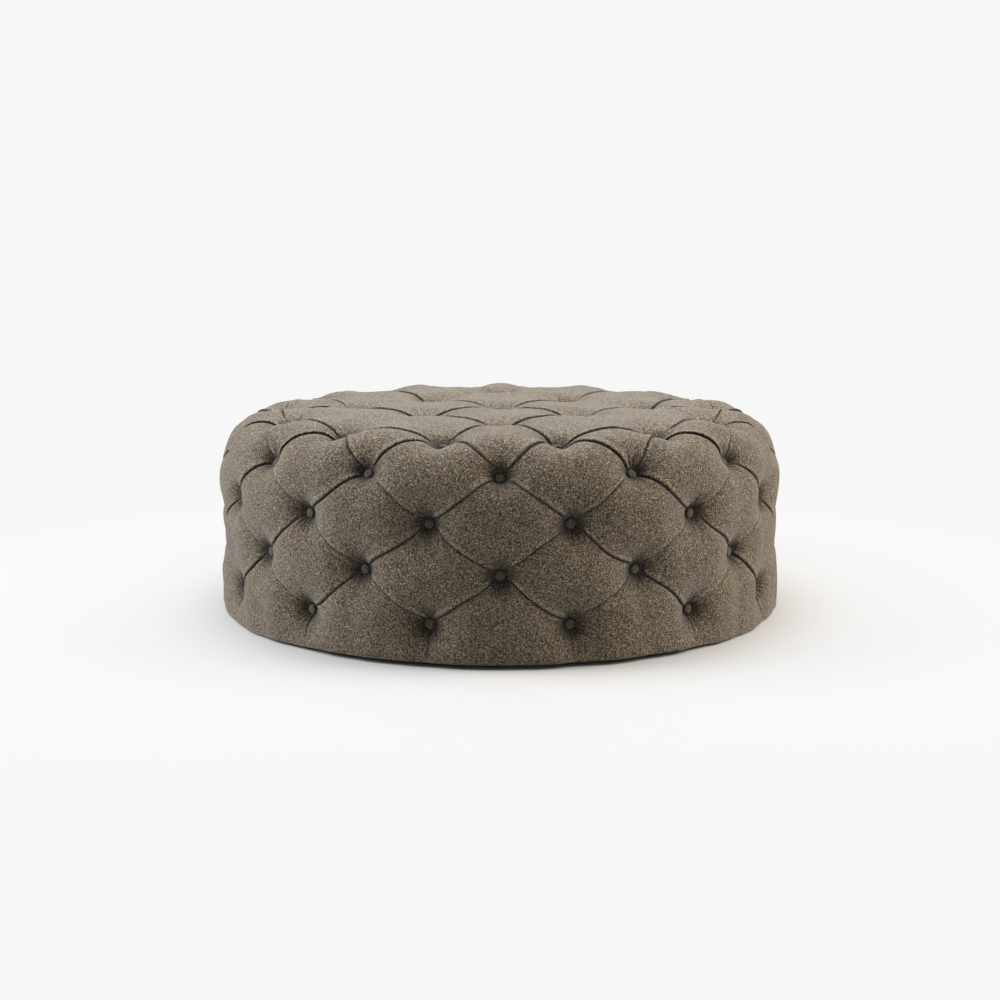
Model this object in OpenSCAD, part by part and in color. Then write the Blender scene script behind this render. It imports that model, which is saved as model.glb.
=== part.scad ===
// Round pouf with deep diamond tufting on its top and side.
// The pouf stands on its glides at height zero, with its axis on Z and its front towards -Y.

/* [Body] */
// Diameter over the crowns of the side puffs
pouf_d = 1100; // [1060:2:1140]
// Height of the upholstered body, from its hem to the crowns on top
body_h = 374; // [366:1:386]
// Width of the rounded shoulder, measured inwards from the side
shoulder_w = 142; // [130:1:160]
// Height of the rounded shoulder, measured down from the top
shoulder_h = 128; // [116:1:140]
// Squareness of the shoulder curve, where 2 gives an ellipse
shoulder_power = 2.25; // [2:0.05:2.6]
// Distance that the hem is drawn in from the side
hem_in = 4; // [2:0.5:16]
// Height over which the side draws in to the hem
hem_rise = 42; // [30:1:57]

/* [Tufting] */
// Number of tufted columns round the side
columns = 14; // [14:1:14]
// Height of the lowest button row above the hem
row_first = 58; // [54:1:64]
// Distance along the cloth from the foot of the shoulder up to the highest button row
shoulder_row_rise = 67; // [61:1:73]
// Distance along the cloth from the edge of the flat top out to the ring of rim buttons
rim_row_out = 30.5; // [26:0.5:34]
// Spacing of the square grid of buttons on top, measured along X and Y
grid_pitch = 143; // [136:1:148]
// Depth of the cloth at a button, below the crowns
tuft_depth = 35; // [30:0.5:36]
// Depth of the pleats half way between two buttons
pleat_depth = 15; // [8:0.5:18]
// Depth of the straight pleats where they reach the hem
hem_pleat_depth = 5; // [2:0.5:7]
// How quickly a straight pleat grows shallow towards the hem, where 1 is evenly
pleat_power = 1.3; // [1:0.1:2.2]
// Fullness of a puff, where 2 is a plain arch and more is plumper
puff_power = 2.2; // [2:0.1:2.6]

/* [Buttons and twine] */
// Diameter of a covered button
button_d = 20; // [18:0.5:23]
// Height of a button's domed front above its rim
button_dome = 4.2; // [3:0.1:5]
// Height of a button's rim, between its front and its back
button_rim = 1.2; // [1:0.1:2]
// Height of a button's tapered back
button_back = 6.8; // [6:0.1:8]
// Width of the flat in the middle of a button's back
button_flat = 4; // [3:0.1:5]
// Height of a button's back above the cloth that it draws down
button_lift = 1.6; // [1.4:0.1:1.9]
// The same height in the lowest row, whose buttons lie on the walls of the straight pleats
base_button_lift = 6.6; // [6.4:0.1:7]
// Diameter of the tufting twine
twine_d = 1.8; // [1.4:0.1:2.2]
// Diameter of the knot that ends each twine
knot_d = 7; // [5:0.5:9]

/* [Padding] */
// Thickness of the wadding under the cover
wadding_t = 6; // [5:0.5:8]
// Thickness of the foam round the side
side_foam_t = 46; // [42:1:50]
// Height of the bevel on the edge of the top padding
bevel_h = 50; // [46:1:54]
// Width of the bevel on the edge of the top padding
bevel_w = 76; // [70:1:80]

/* [Frame] */
// Thickness of the deck panel
deck_t = 12; // [9:1:15]
// Thickness of the base ring
base_t = 15; // [12:1:18]
// Width of the base ring
base_w = 155; // [140:5:200]
// Thickness of the bendy skin round the frame
skin_t = 5; // [4:0.5:6]
// Number of uprights between base and deck
uprights_n = 7; // [7:7:7]
// Width of an upright's square section
upright_w = 38; // [32:1:44]
// Width of the rails that stiffen the deck
rail_w = 38; // [32:1:40]
// Depth of the rails
rail_h = 60; // [50:1:70]
// Gap between the ends of the rails and the ring of uprights
rail_gap = 8; // [4:1:30]
// Distance of each rail from the middle
rail_offset = 95; // [94:0.5:96]
// Number of screws in each rail
rail_screws_n = 4; // [2:1:6]

/* [Underside] */
// Thickness of the dust cover
dust_t = 0.8; // [0.6:0.1:1.2]
// Width of the dust cover's margin inside the hem
dust_margin = 26; // [22:1:40]
// Thickness of the hem strip that is turned under the base
strip_t = 0.9; // [0.6:0.1:1.2]
// Width of the hem strip under the base ring
strip_hold = 22; // [16:1:30]
// Height of a glide
glide_h = 10; // [8:0.5:14]
// Diameter of a glide at its top
glide_d = 36; // [30:1:44]
// Diameter of a glide at the floor
glide_foot_d = 30; // [24:1:36]
// Distance of each glide's middle inside the edge of the base ring
glide_inset = 37; // [34:0.5:45]
// Diameter of the recess in a glide for its screw's head
glide_sink_d = 11; // [10:0.5:14]
// Depth of the recess in a glide for its screw's head
glide_sink = 5; // [4:0.5:6]
// Width of the bevel round a glide's foot
glide_bevel = 1.5; // [1:0.1:2]

/* [Screws] */
// Diameter of a wood screw's shank
screw_d = 4; // [3.5:0.1:4.2]
// Diameter of a wood screw's countersunk head
screw_head_d = 8; // [7:0.1:9]
// Height of a wood screw's countersunk head
screw_head_h = 2.6; // [2:0.1:3]
// Length of a wood screw under its head
screw_l = 40; // [34:1:46]
// Length of a wood screw's point
screw_point = 4; // [3:0.5:6]
// Length of a glide's screw under its head
glide_screw_l = 15; // [13:0.5:16]

/* [Fits] */
// Gap between curved pieces that lie against each other
seat_gap = 0.3; // [0.2:0.05:0.5]
// Gap round a screw or twine in its hole
hole_gap = 0.25; // [0.15:0.05:0.4]
// Distance that a cut runs past the face it opens
overrun = 1; // [0.5:0.5:2]
// Step to which points on the cloth are rounded, so that neighbouring puffs share them
weld = 0.001; // [0.001:0.001:0.002]

/* [Hidden] */
$fn = 64;

// Colours
cloth_color = [0.42, 0.38, 0.34];
button_color = [0.32, 0.29, 0.26];
ply_color = [0.80, 0.66, 0.46];
timber_color = [0.86, 0.74, 0.55];
foam_color = [0.93, 0.90, 0.78];
wadding_color = [0.95, 0.95, 0.93];
twine_color = [0.76, 0.70, 0.58];
black_color = [0.09, 0.09, 0.10];
steel_color = [0.72, 0.72, 0.74];

// Levels
dust_z = glide_h;
hem_z = dust_z + dust_t;
base_z = hem_z + strip_t;
top_z = hem_z + body_h;

// The envelope is the smooth surface that the crowns of the puffs touch. A place on the cloth is
// given by its distance along the envelope from the middle of the top, called its reach here, and
// its direction, so the whole cloth lies flat as a disc, with the side as the disc's outer part.
pouf_r = pouf_d / 2;
flat_r = pouf_r - shoulder_w;
shoulder_z = top_z - shoulder_h;
shoulder_run_share = 1.04;
shoulder_run = PI / 4 * (shoulder_w + shoulder_h) * shoulder_run_share;
side_reach = flat_r + shoulder_run;
hem_reach = side_reach + shoulder_z - hem_z;

// Reach of each ring of buttons
base_row = hem_reach - row_first;
shoulder_row = side_reach - shoulder_row_rise;
lower_row = mix(base_row, shoulder_row, 1 / 3);
upper_row = mix(base_row, shoulder_row, 2 / 3);
rim_row = flat_r + rim_row_out;
step = 360 / columns;

function unit(v) = norm(v) > 0 ? v / norm(v) : v;
function welded(p) = [for (c = p) round(c / weld) * weld];
function mix(a, b, t) = a + (b - a) * t;

// Point on the shoulder curve at an angle from straight up, from the curve's own centre
function shoulder_arm(a) =
    pow(pow(sin(a) / shoulder_w, shoulder_power) + pow(cos(a) / shoulder_h, shoulder_power),
        -1 / shoulder_power);
function shoulder_normal(a) = unit([
    pow(sin(a) / shoulder_w, shoulder_power - 1) / shoulder_w,
    pow(cos(a) / shoulder_h, shoulder_power - 1) / shoulder_h
]);
function shoulder_angle(reach) = 90 * (reach - flat_r) / shoulder_run;

// Radius and height of the envelope at a reach
function envelope(reach) =
    reach <= flat_r ? [reach, top_z] :
    reach < side_reach ?
        let (a = shoulder_angle(reach), arm = shoulder_arm(a))
        [flat_r + arm * sin(a), shoulder_z + arm * cos(a)] :
    let (z = shoulder_z - (reach - side_reach), low = max(0, hem_rise - (z - hem_z)) / hem_rise)
    [pouf_r - hem_in * low * low, z];

// Radial and upward part of the envelope's outward normal at a reach
function envelope_normal(reach) =
    reach <= flat_r ? [0, 1] :
    reach < side_reach ? shoulder_normal(shoulder_angle(reach)) :
    [1, 0];

// Point of the cloth at a flat place, sunk to a depth below the envelope
function cloth_point(place, depth) =
    let (reach = norm(place), way = unit(place), at = envelope(reach) - depth * envelope_normal(reach))
    welded([way.x * at.x, way.y * at.x, at.y]);

// Flat place at a number of steps round from the front
function ring_place(steps, reach) = reach * [sin(steps * step), -cos(steps * step)];

// How deep a patch of cloth lies between its edges: one on an edge, zero along the middle
function edge_share(t) = pow(abs(2 * t - 1), puff_power);
function patch_depth(a, b) =
    tuft_depth * a * b + pleat_depth * (a * (1 - b) + b * (1 - a));

// Places of the buttons on top
grid_places = grid_pitch * [[0, 0], [1, 1], [1, -1], [-1, 1], [-1, -1], [0, 2], [0, -2], [2, 0], [-2, 0]];
function grid_place(x, y) = grid_pitch * [x, y];

// Puffs on top, each a list of three or four corners in order
inner_puffs = [
    [grid_place(0, 0), grid_place(1, -1), grid_place(0, -2), grid_place(-1, -1)],
    [grid_place(0, 0), grid_place(1, 1), grid_place(2, 0), grid_place(1, -1)],
    [grid_place(0, 0), grid_place(-1, 1), grid_place(0, 2), grid_place(1, 1)],
    [grid_place(0, 0), grid_place(-1, -1), grid_place(-2, 0), grid_place(-1, 1)]
];
half = columns / 2;
// Puffs between the grid and the rim, on the side towards +X and on its mirror side
right_puffs = [
    [grid_place(0, -2), grid_place(1, -1), ring_place(1.5, rim_row), ring_place(0.5, rim_row)],
    [grid_place(1, -1), grid_place(2, 0), ring_place(2.5, rim_row), ring_place(1.5, rim_row)],
    [ring_place(3.5, rim_row), ring_place(2.5, rim_row), grid_place(2, 0)],
    [ring_place(4.5, rim_row), ring_place(3.5, rim_row), grid_place(2, 0)],
    [grid_place(2, 0), grid_place(1, 1), ring_place(5.5, rim_row), ring_place(4.5, rim_row)],
    [grid_place(1, 1), grid_place(0, 2), ring_place(6.5, rim_row), ring_place(5.5, rim_row)]
];
function mirrored(c) = len(c) == 3 ? [c[1], c[0], c[2]] : [c[0], c[3], c[2], c[1]];
left_puffs = [for (c = right_puffs) [for (p = mirrored(c)) [-p.x, p.y]]];
top_puffs = concat(inner_puffs, right_puffs, left_puffs);

// Diamonds of the side, from the shoulder down, and the two that reach over the rim
side_diamonds = concat(
    [for (k = [0:columns - 1]) [ring_place(k + 0.5, rim_row), ring_place(k + 1, shoulder_row),
        ring_place(k + 0.5, upper_row), ring_place(k, shoulder_row)]],
    [for (k = [0:columns - 1]) [ring_place(k, shoulder_row), ring_place(k + 0.5, upper_row),
        ring_place(k, lower_row), ring_place(k - 0.5, upper_row)]],
    [for (k = [0:columns - 1]) [ring_place(k + 0.5, upper_row), ring_place(k + 1, lower_row),
        ring_place(k + 0.5, base_row), ring_place(k, lower_row)]],
    [[grid_place(0, -2), ring_place(0.5, rim_row), ring_place(0, shoulder_row), ring_place(-0.5, rim_row)]],
    [[grid_place(0, 2), ring_place(half + 0.5, rim_row), ring_place(half, shoulder_row),
        ring_place(half - 0.5, rim_row)]]
);
// Three-sided puffs between two rim buttons and the shoulder button below them
gussets = [for (k = [1:columns - 1]) if (k != half)
    [ring_place(k - 0.5, rim_row), ring_place(k + 0.5, rim_row), ring_place(k, shoulder_row)]];
side_puffs = concat(side_diamonds, gussets);

// Places along a patch's sides, as shares of the side
coarse_shares = [0, 0.22, 0.5, 0.78, 1];
fine_shares = [0, 0.11, 0.22, 0.35, 0.5, 0.65, 0.78, 0.89, 1];

// Two triangles for each cell of a grid of points, with the diagonals meeting at its middle, and
// one where two of the cell's corners are the same point
function cell(a, b, c, d, turn) = [
    for (f = turn ? [[a, b, c], [a, c, d]] : [[a, b, d], [b, c, d]])
        if (f[0] != f[1] && f[1] != f[2] && f[2] != f[0]) f
];
function grid_faces(p, rows, cols) = [
    for (i = [0:rows - 1], j = [0:cols - 1])
        each cell(p[i][j], p[i][j + 1], p[i + 1][j + 1], p[i + 1][j], (2 * i < rows) == (2 * j < cols))
];

// Point of a puff at shares of its sides. A puff's third side shrinks to a point where it has
// three corners, and its pleats on both sides run together there.
function puff_place(c, u, v) = mix(mix(c[0], c[1], u), mix(c[len(c) - 1], c[2], u), v);
function puff_depth(c, u, v) =
    let (a = edge_share(u))
    patch_depth(len(c) == 3 ? mix(a, 1, v * v) : a, edge_share(v));
function puff_point(c, u, v) = cloth_point(puff_place(c, u, v), puff_depth(c, u, v));

function puff_faces(c) =
    let (last = len(coarse_shares) - 1,
        p = [for (v = coarse_shares) [for (u = coarse_shares) puff_point(c, u, v)]])
    grid_faces(p, last, last);

// A finer puff, whose sides are kept to the coarse shares so that it meets its neighbours
function on_side(t) = t == 0 || t == 1;
function coarse_side_point(c, u, v, i) =
    let (k = floor(i / 2), along_u = on_side(v), a = coarse_shares[k], b = coarse_shares[k + 1])
    i % 2 == 0 ? puff_point(c, u, v) :
    welded((puff_point(c, along_u ? a : u, along_u ? v : a)
        + puff_point(c, along_u ? b : u, along_u ? v : b)) / 2);
function fine_puff_faces(c) =
    let (last = len(fine_shares) - 1,
        p = [for (j = [0:last]) [for (i = [0:last])
            let (u = fine_shares[i], v = fine_shares[j])
            on_side(v) ? coarse_side_point(c, u, v, i) :
            on_side(u) ? coarse_side_point(c, u, v, j) :
            puff_point(c, u, v)]])
    grid_faces(p, last, last);

// A hem panel hangs between two straight pleats, below three buttons. Its upper side has twice the
// points of its lower rows.
panel_shares = [0, 0.3, 0.65, 1];
function panel_top_place(k, u) =
    u <= 0.5 ? mix(ring_place(k - 0.5, base_row), ring_place(k, lower_row), 2 * u) :
    mix(ring_place(k, lower_row), ring_place(k + 0.5, base_row), 2 * u - 1);
function panel_top_depth(u) =
    let (t = u <= 0.5 ? 2 * u : 2 * u - 1)
    patch_depth(1, edge_share(t));
function panel_point(k, u, v) =
    let (a = edge_share(u), b = pow(1 - v, puff_power),
        pleat = mix(hem_pleat_depth, tuft_depth, pow(1 - v, pleat_power)),
        depth = b * panel_top_depth(u) + a * pleat - a * b * tuft_depth)
    cloth_point(mix(panel_top_place(k, u), ring_place(k - 0.5 + u, hem_reach), v), depth);
panel_top_shares = concat(
    [for (s = coarse_shares) s / 2],
    [for (i = [1:len(coarse_shares) - 1]) (1 + coarse_shares[i]) / 2]
);
panel_low_shares = [0, 0.25, 0.5, 0.75, 1];
function panel_faces(k) =
    let (top = [for (u = panel_top_shares) panel_point(k, u, 0)],
        rows = [for (i = [1:len(panel_shares) - 1])
            [for (u = panel_low_shares) panel_point(k, u, panel_shares[i])]],
        low = rows[0])
    concat(
        [for (i = [0:3]) each [[top[2 * i], top[2 * i + 1], low[i]],
            [top[2 * i + 1], low[i + 1], low[i]], [top[2 * i + 1], top[2 * i + 2], low[i + 1]]]],
        grid_faces(rows, len(rows) - 1, len(low) - 1)
    );

// Seam between the two covers, from rim button to rim button and round the two long diamonds
seam = concat(
    [grid_place(0, -2)], [for (k = [0:half - 1]) ring_place(k + 0.5, rim_row)],
    [grid_place(0, 2)], [for (k = [half:columns - 1]) ring_place(k + 0.5, rim_row)]
);
// Number of half steps from the front to each corner of the seam
seam_turns = concat(
    [0], [for (k = [0:half - 1]) 2 * k + 1],
    [columns], [for (k = [half:columns - 1]) 2 * k + 1], [2 * columns]
);

// Inner face of the covers, outside the wadding
turns = 2 * columns;
// The inner face is flat between turns, so what lies inside it is as much smaller as its flats are
flat_share = cos(180 / turns);
// Thickness of the cover under a button, which is the cloth and its lining pressed flat
cover_web = 4;
cover_in_r = pouf_r - tuft_depth - cover_web;
bevel_top_r = cover_in_r - bevel_w;
plane_z = round((top_z - tuft_depth - cover_web) / weld) * weld;
bevel_z = plane_z - bevel_h;
function turn_point(m, r, z) = let (a = 360 * m / turns) welded([r * sin(a), -r * cos(a), z]);
function seam_low(i) = let (p = cloth_point(seam[i % len(seam)], tuft_depth)) [p.x, p.y, plane_z];

// Wall of the seam, as seen from the top cover
function seam_points(i, fine) =
    let (a = seam[i], b = seam[(i + 1) % len(seam)], c = [a, b, b, a],
        shares = fine ? fine_shares : coarse_shares)
    [for (j = [0:len(shares) - 1])
        fine ? coarse_side_point(c, shares[j], 0, j) : puff_point(c, shares[j], 0)];
function seam_wall(fine) = [
    for (i = [0:len(seam) - 1])
        let (p = seam_points(i, fine), a = seam_low(i), b = seam_low(i + 1),
            last = len(p) - 1, mid = last / 2)
        each concat(
            [for (j = [0:mid - 1]) [p[j + 1], p[j], a]],
            [[p[mid], a, b]],
            [for (j = [mid:last - 1]) [p[j + 1], p[j], b]])
];
function flipped(faces) = [for (f = faces) [f[0], f[2], f[1]]];

// Flat ring on top of the inner face, between the bevel and the seam
seam_floor = [
    for (i = [0:len(seam) - 1])
        let (m = seam_turns[i], n = seam_turns[i + 1], a = seam_low(i), b = seam_low(i + 1),
            p = turn_point(m, bevel_top_r, plane_z), q = turn_point(n, bevel_top_r, plane_z),
            mid = turn_point(m + 1, bevel_top_r, plane_z))
        each n - m == 1 ? [[p, q, b], [p, b, a]] : [[p, mid, a], [mid, q, b], [a, mid, b]]
];
inner_rings = [[cover_in_r, hem_z], [cover_in_r, bevel_z], [bevel_top_r, plane_z]];
inner_wall = [
    for (i = [0:len(inner_rings) - 2], m = [0:turns - 1])
        let (r = inner_rings[i], s = inner_rings[i + 1],
            a = turn_point(m, r.x, r.y), b = turn_point(m + 1, r.x, r.y),
            c = turn_point(m + 1, s.x, s.y), d = turn_point(m, s.x, s.y))
        each [[a, b, c], [a, c, d]]
];
hem_floor = [
    for (m = [0:turns - 1])
        let (a = hem_point(2 * m), b = hem_point(2 * m + 1), c = hem_point(2 * m + 2),
            p = turn_point(m, cover_in_r, hem_z), q = turn_point(m + 1, cover_in_r, hem_z))
        each [[a, b, p], [b, q, p], [b, c, q]]
];
// Points of the hem, four to a column
function hem_point(i) =
    let (k = round(i / 4), u = i / 4 - k + 0.5)
    panel_point(k, u, 1);

// Solid inside a list of triangles, with the corners that they share joined
module solid_from(triangles) {
    corners = [for (t = triangles) each t];
    first = search(corners, corners, 1);
    points = [for (i = [0:len(corners) - 1]) if (first[i] == i) corners[i]];
    found = search(corners, points, 1);
    polyhedron(points = points,
        faces = [for (i = [0:len(triangles) - 1]) [found[3 * i], found[3 * i + 1], found[3 * i + 2]]]);
}

// Outer corners of the padding at a distance inside the covers: the bevel's top, then its foot
bevel_a = atan(bevel_h / bevel_w);
function padding_corners(inset) = [
    [bevel_top_r * flat_share - seat_gap - inset * tan(bevel_a / 2), plane_z - seat_gap - inset],
    [cover_in_r * flat_share - seat_gap - inset, bevel_z - seat_gap - inset * tan((90 - bevel_a) / 2)]
];
wadding_out = padding_corners(0);
wadding_in = padding_corners(wadding_t);
foam_out = padding_corners(wadding_t + seat_gap);
foam_in_r = foam_out[1].x - side_foam_t;

// Frame
skin_out_r = foam_in_r - seat_gap;
skin_in_r = skin_out_r - skin_t;
frame_r = skin_in_r - seat_gap;
deck_top = foam_out[1].y;
deck_z = deck_top - deck_t;
upright_z = base_z + base_t;
upright_h = deck_z - upright_z;
upright_reach = sqrt(frame_r * frame_r - upright_w * upright_w / 4) - upright_w / 2;
rail_reach = upright_reach - upright_w / 2 - rail_gap;
rail_l = 2 * sqrt(rail_reach * rail_reach - pow(rail_offset + rail_w / 2, 2));
glide_reach = frame_r - glide_inset;
strip_in_r = frame_r - strip_hold;
// The uprights stand a quarter of a column off the buttons, clear of every knot
upright_turn = step / 4;

// Rows of buttons: places, tilt of the buttons from upright, and height of their backs
function row_places(reach, shift) = [for (k = [0:columns - 1]) ring_place(k + shift, reach)];
function tilt_at(reach) = let (n = envelope_normal(reach)) acos(n.y);
top_buttons_row = [grid_places, 0, button_lift];
rim_buttons_row = [row_places(rim_row, 0.5), 0, button_lift];
shoulder_buttons_row = [row_places(shoulder_row, 0), tilt_at(shoulder_row), button_lift];
upper_buttons_row = [row_places(upper_row, 0.5), tilt_at(upper_row), button_lift];
lower_buttons_row = [row_places(lower_row, 0), tilt_at(lower_row), button_lift];
base_buttons_row = [row_places(base_row, 0.5), tilt_at(base_row), base_button_lift];
// The two buttons of the grid that lie on the seam of the covers
seam_buttons_row = [[grid_place(0, -2), grid_place(0, 2)], 0, button_lift];
deck_rows = [top_buttons_row, rim_buttons_row];
skin_rows = [shoulder_buttons_row, upper_buttons_row, lower_buttons_row, base_buttons_row];

// Depth of the middle of a row's knots, measured along the twine from the cloth's lowest point
function knot_depth(row) =
    let (p = cloth_point(row[0][0], tuft_depth), tilt = row[1],
        down = p.z - deck_z + knot_d / 2 + seat_gap,
        inward = (norm([p.x, p.y]) - skin_in_r + knot_d / 2 + seat_gap) / sin(tilt))
    tilt == 0 ? down : inward;

module at_buttons(row) {
    for (place = row[0])
        translate(cloth_point(place, tuft_depth))
            rotate([0, row[1], atan2(place.y, place.x)])
                children();
}

// Holes for the twines, each turned so that the start of its round face lies to the side
module twine_holes(rows) {
    hole_r = twine_d / 2 + hole_gap;
    for (row = rows)
        at_buttons(row)
            translate([0, 0, -knot_depth(row)])
                rotate(90) cylinder(r = hole_r, h = knot_depth(row) + tuft_depth);
}

// Profile of a covered button: tapered back, rim and domed front
dome_steps = 6;
button_profile = concat(
    [[0, 0], [button_flat / 2, 0], [button_d / 2, button_back]],
    [for (i = [0:dome_steps])
        let (a = 90 * i / dome_steps)
        [button_d / 2 * cos(a), button_back + button_rim + button_dome * sin(a)]]
);

module buttons(row) {
    color(button_color)
    at_buttons(row)
        translate([0, 0, row[2]])
            rotate_extrude() polygon(button_profile);
}

module twines(row) {
    color(twine_color)
    at_buttons(row) {
        translate([0, 0, -knot_depth(row)]) cylinder(d = twine_d, h = knot_depth(row) + row[2]);
        translate([0, 0, -knot_depth(row)]) sphere(d = knot_d);
    }
}

// Round-headed screw with the seat of its head at height zero, pointing down
module round_head_screw(length) {
    rotate_extrude()
        polygon([[0, screw_head_h], [screw_head_d / 2, screw_head_h], [screw_head_d / 2, 0],
            [screw_d / 2, 0], [screw_d / 2, screw_point - length], [0, -length]]);
}

// Countersunk screw with its head's face at height zero, pointing down
module wood_screw(length) {
    rotate_extrude()
        polygon([[0, 0], [screw_head_d / 2, 0], [screw_d / 2, -screw_head_h],
            [screw_d / 2, screw_point - length], [0, -length]]);
}

// Hole for that screw, whose countersink widens on past the face that it opens
module wood_screw_hole(length) {
    hole_r = screw_d / 2 + hole_gap;
    sink_r = hole_r + (screw_head_h + overrun) / screw_head_h * (screw_head_d - screw_d) / 2;
    rotate_extrude()
        polygon([[0, overrun], [sink_r, overrun], [hole_r, -screw_head_h], [hole_r, -length - hole_gap],
            [0, -length - hole_gap]]);
}

module glide_screw_hole() {
    cylinder(d = screw_d + 2 * hole_gap, h = 2 * (glide_screw_l + overrun), center = true);
}

module round_uprights(reach, z) {
    for (k = [0:uprights_n - 1])
        rotate(360 * k / uprights_n + upright_turn - 90) translate([reach, 0, z]) children();
}

module along_rails(z) {
    for (y = [-rail_offset, rail_offset], i = [0:rail_screws_n - 1])
        translate([(i - (rail_screws_n - 1) / 2) * rail_l / rail_screws_n, y, z]) children();
}

module at_base_screws() {
    round_uprights(upright_reach, base_z) rotate([180, 0, 0]) children();
}

module at_deck_screws() {
    round_uprights(upright_reach, deck_top) children();
}

module at_rail_screws() {
    along_rails(deck_top) children();
}

module at_glide_screws() {
    round_uprights(glide_reach, glide_sink) rotate([180, 0, 0]) children();
}

module base_ring() {
    color(ply_color)
    difference() {
        translate([0, 0, base_z]) cylinder(r = frame_r, h = base_t);
        translate([0, 0, base_z - overrun]) cylinder(r = frame_r - base_w, h = base_t + 2 * overrun);
        at_base_screws() wood_screw_hole(screw_l);
        at_glide_screws() glide_screw_hole();
    }
}

module uprights() {
    color(timber_color)
    difference() {
        round_uprights(upright_reach, upright_z)
            translate([-upright_w / 2, -upright_w / 2, 0]) cube([upright_w, upright_w, upright_h]);
        at_base_screws() wood_screw_hole(screw_l);
        at_deck_screws() wood_screw_hole(screw_l);
    }
}

module deck_panel() {
    color(ply_color)
    difference() {
        translate([0, 0, deck_z]) cylinder(r = frame_r, h = deck_t);
        at_deck_screws() wood_screw_hole(screw_l);
        at_rail_screws() wood_screw_hole(screw_l);
        twine_holes(deck_rows);
    }
}

module deck_rails() {
    color(timber_color)
    difference() {
        for (y = [-rail_offset, rail_offset])
            translate([-rail_l / 2, y - rail_w / 2, deck_z - rail_h]) cube([rail_l, rail_w, rail_h]);
        at_rail_screws() wood_screw_hole(screw_l);
    }
}

module frame_skin() {
    color(ply_color)
    difference() {
        translate([0, 0, base_z]) cylinder(r = skin_out_r, h = deck_top - base_z);
        translate([0, 0, base_z - overrun]) cylinder(r = skin_in_r, h = deck_top - base_z + 2 * overrun);
        twine_holes(skin_rows);
    }
}

module base_screws() {
    color(steel_color) at_base_screws() wood_screw(screw_l);
}

module deck_screws() {
    color(steel_color) at_deck_screws() wood_screw(screw_l);
}

module rail_screws() {
    color(steel_color) at_rail_screws() wood_screw(screw_l);
}

module side_foam() {
    color(foam_color)
    difference() {
        rotate_extrude()
            polygon([[foam_in_r, base_z], [foam_out[1].x, base_z], foam_out[1], [foam_in_r, deck_top]]);
        twine_holes(skin_rows);
    }
}

module top_foam() {
    color(foam_color)
    difference() {
        rotate_extrude() polygon([[0, deck_top], foam_out[1], foam_out[0], [0, foam_out[0].y]]);
        twine_holes(concat(deck_rows, [shoulder_buttons_row]));
    }
}

module wadding() {
    color(wadding_color)
    difference() {
        rotate_extrude()
            polygon([[0, wadding_out[0].y], wadding_out[0], wadding_out[1], [wadding_out[1].x, base_z],
                [wadding_in[1].x, base_z], wadding_in[1], wadding_in[0], [0, wadding_in[0].y]]);
        twine_holes(concat(deck_rows, skin_rows));
    }
}

module side_cover() {
    color(cloth_color)
    difference() {
        solid_from(concat(
            [for (c = side_puffs) each puff_faces(c)],
            [for (k = [0:columns - 1]) each panel_faces(k)],
            seam_wall(false), seam_floor, inner_wall, hem_floor
        ));
        twine_holes(concat([rim_buttons_row, seam_buttons_row], skin_rows));
    }
}

module top_cover() {
    color(cloth_color)
    difference() {
        solid_from(concat(
            [for (c = top_puffs) each fine_puff_faces(c)],
            flipped(seam_wall(true)),
            [for (i = [0:len(seam) - 1]) [seam_low(i), seam_low(i + 1), [0, 0, plane_z]]]
        ));
        twine_holes(deck_rows);
    }
}

module hem_strip() {
    color(black_color)
    difference() {
        translate([0, 0, hem_z]) cylinder(r = wadding_out[1].x, h = strip_t);
        translate([0, 0, hem_z - overrun]) cylinder(r = strip_in_r, h = strip_t + 2 * overrun);
    }
}

module dust_cover() {
    color(black_color)
    difference() {
        translate([0, 0, dust_z]) cylinder(r = wadding_out[1].x - dust_margin, h = dust_t);
        at_glide_screws() glide_screw_hole();
    }
}

module glides() {
    bore_r = screw_d / 2 + hole_gap;
    color(black_color)
    round_uprights(glide_reach, 0)
        rotate_extrude()
            polygon([[glide_sink_d / 2, 0], [glide_foot_d / 2 - glide_bevel, 0],
                [glide_foot_d / 2, glide_bevel], [glide_d / 2, glide_h], [bore_r, glide_h],
                [bore_r, glide_sink], [glide_sink_d / 2, glide_sink]]);
}

module glide_screws() {
    color(steel_color)
    at_glide_screws() round_head_screw(glide_screw_l);
}

base_ring();
uprights();
deck_panel();
deck_rails();
frame_skin();
base_screws();
deck_screws();
rail_screws();
side_foam();
top_foam();
wadding();
side_cover();
top_cover();
buttons(top_buttons_row);  // top_buttons
buttons(rim_buttons_row);  // rim_buttons
buttons(shoulder_buttons_row);  // shoulder_buttons
buttons(upper_buttons_row);  // upper_buttons
buttons(lower_buttons_row);  // lower_buttons
buttons(base_buttons_row);  // base_buttons
twines(top_buttons_row);  // top_twines
twines(rim_buttons_row);  // rim_twines
twines(shoulder_buttons_row);  // shoulder_twines
twines(upper_buttons_row);  // upper_twines
twines(lower_buttons_row);  // lower_twines
twines(base_buttons_row);  // base_twines
hem_strip();
dust_cover();
glides();
glide_screws();
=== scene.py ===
"""Dresses the round tufted pouf: its two covers, its buttons, its inside, and the studio round it."""

import logging
import math
from dataclasses import dataclass, field
from enum import Enum

import bmesh
import bpy
import numpy as np
from mathutils import Matrix, Vector

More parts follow.
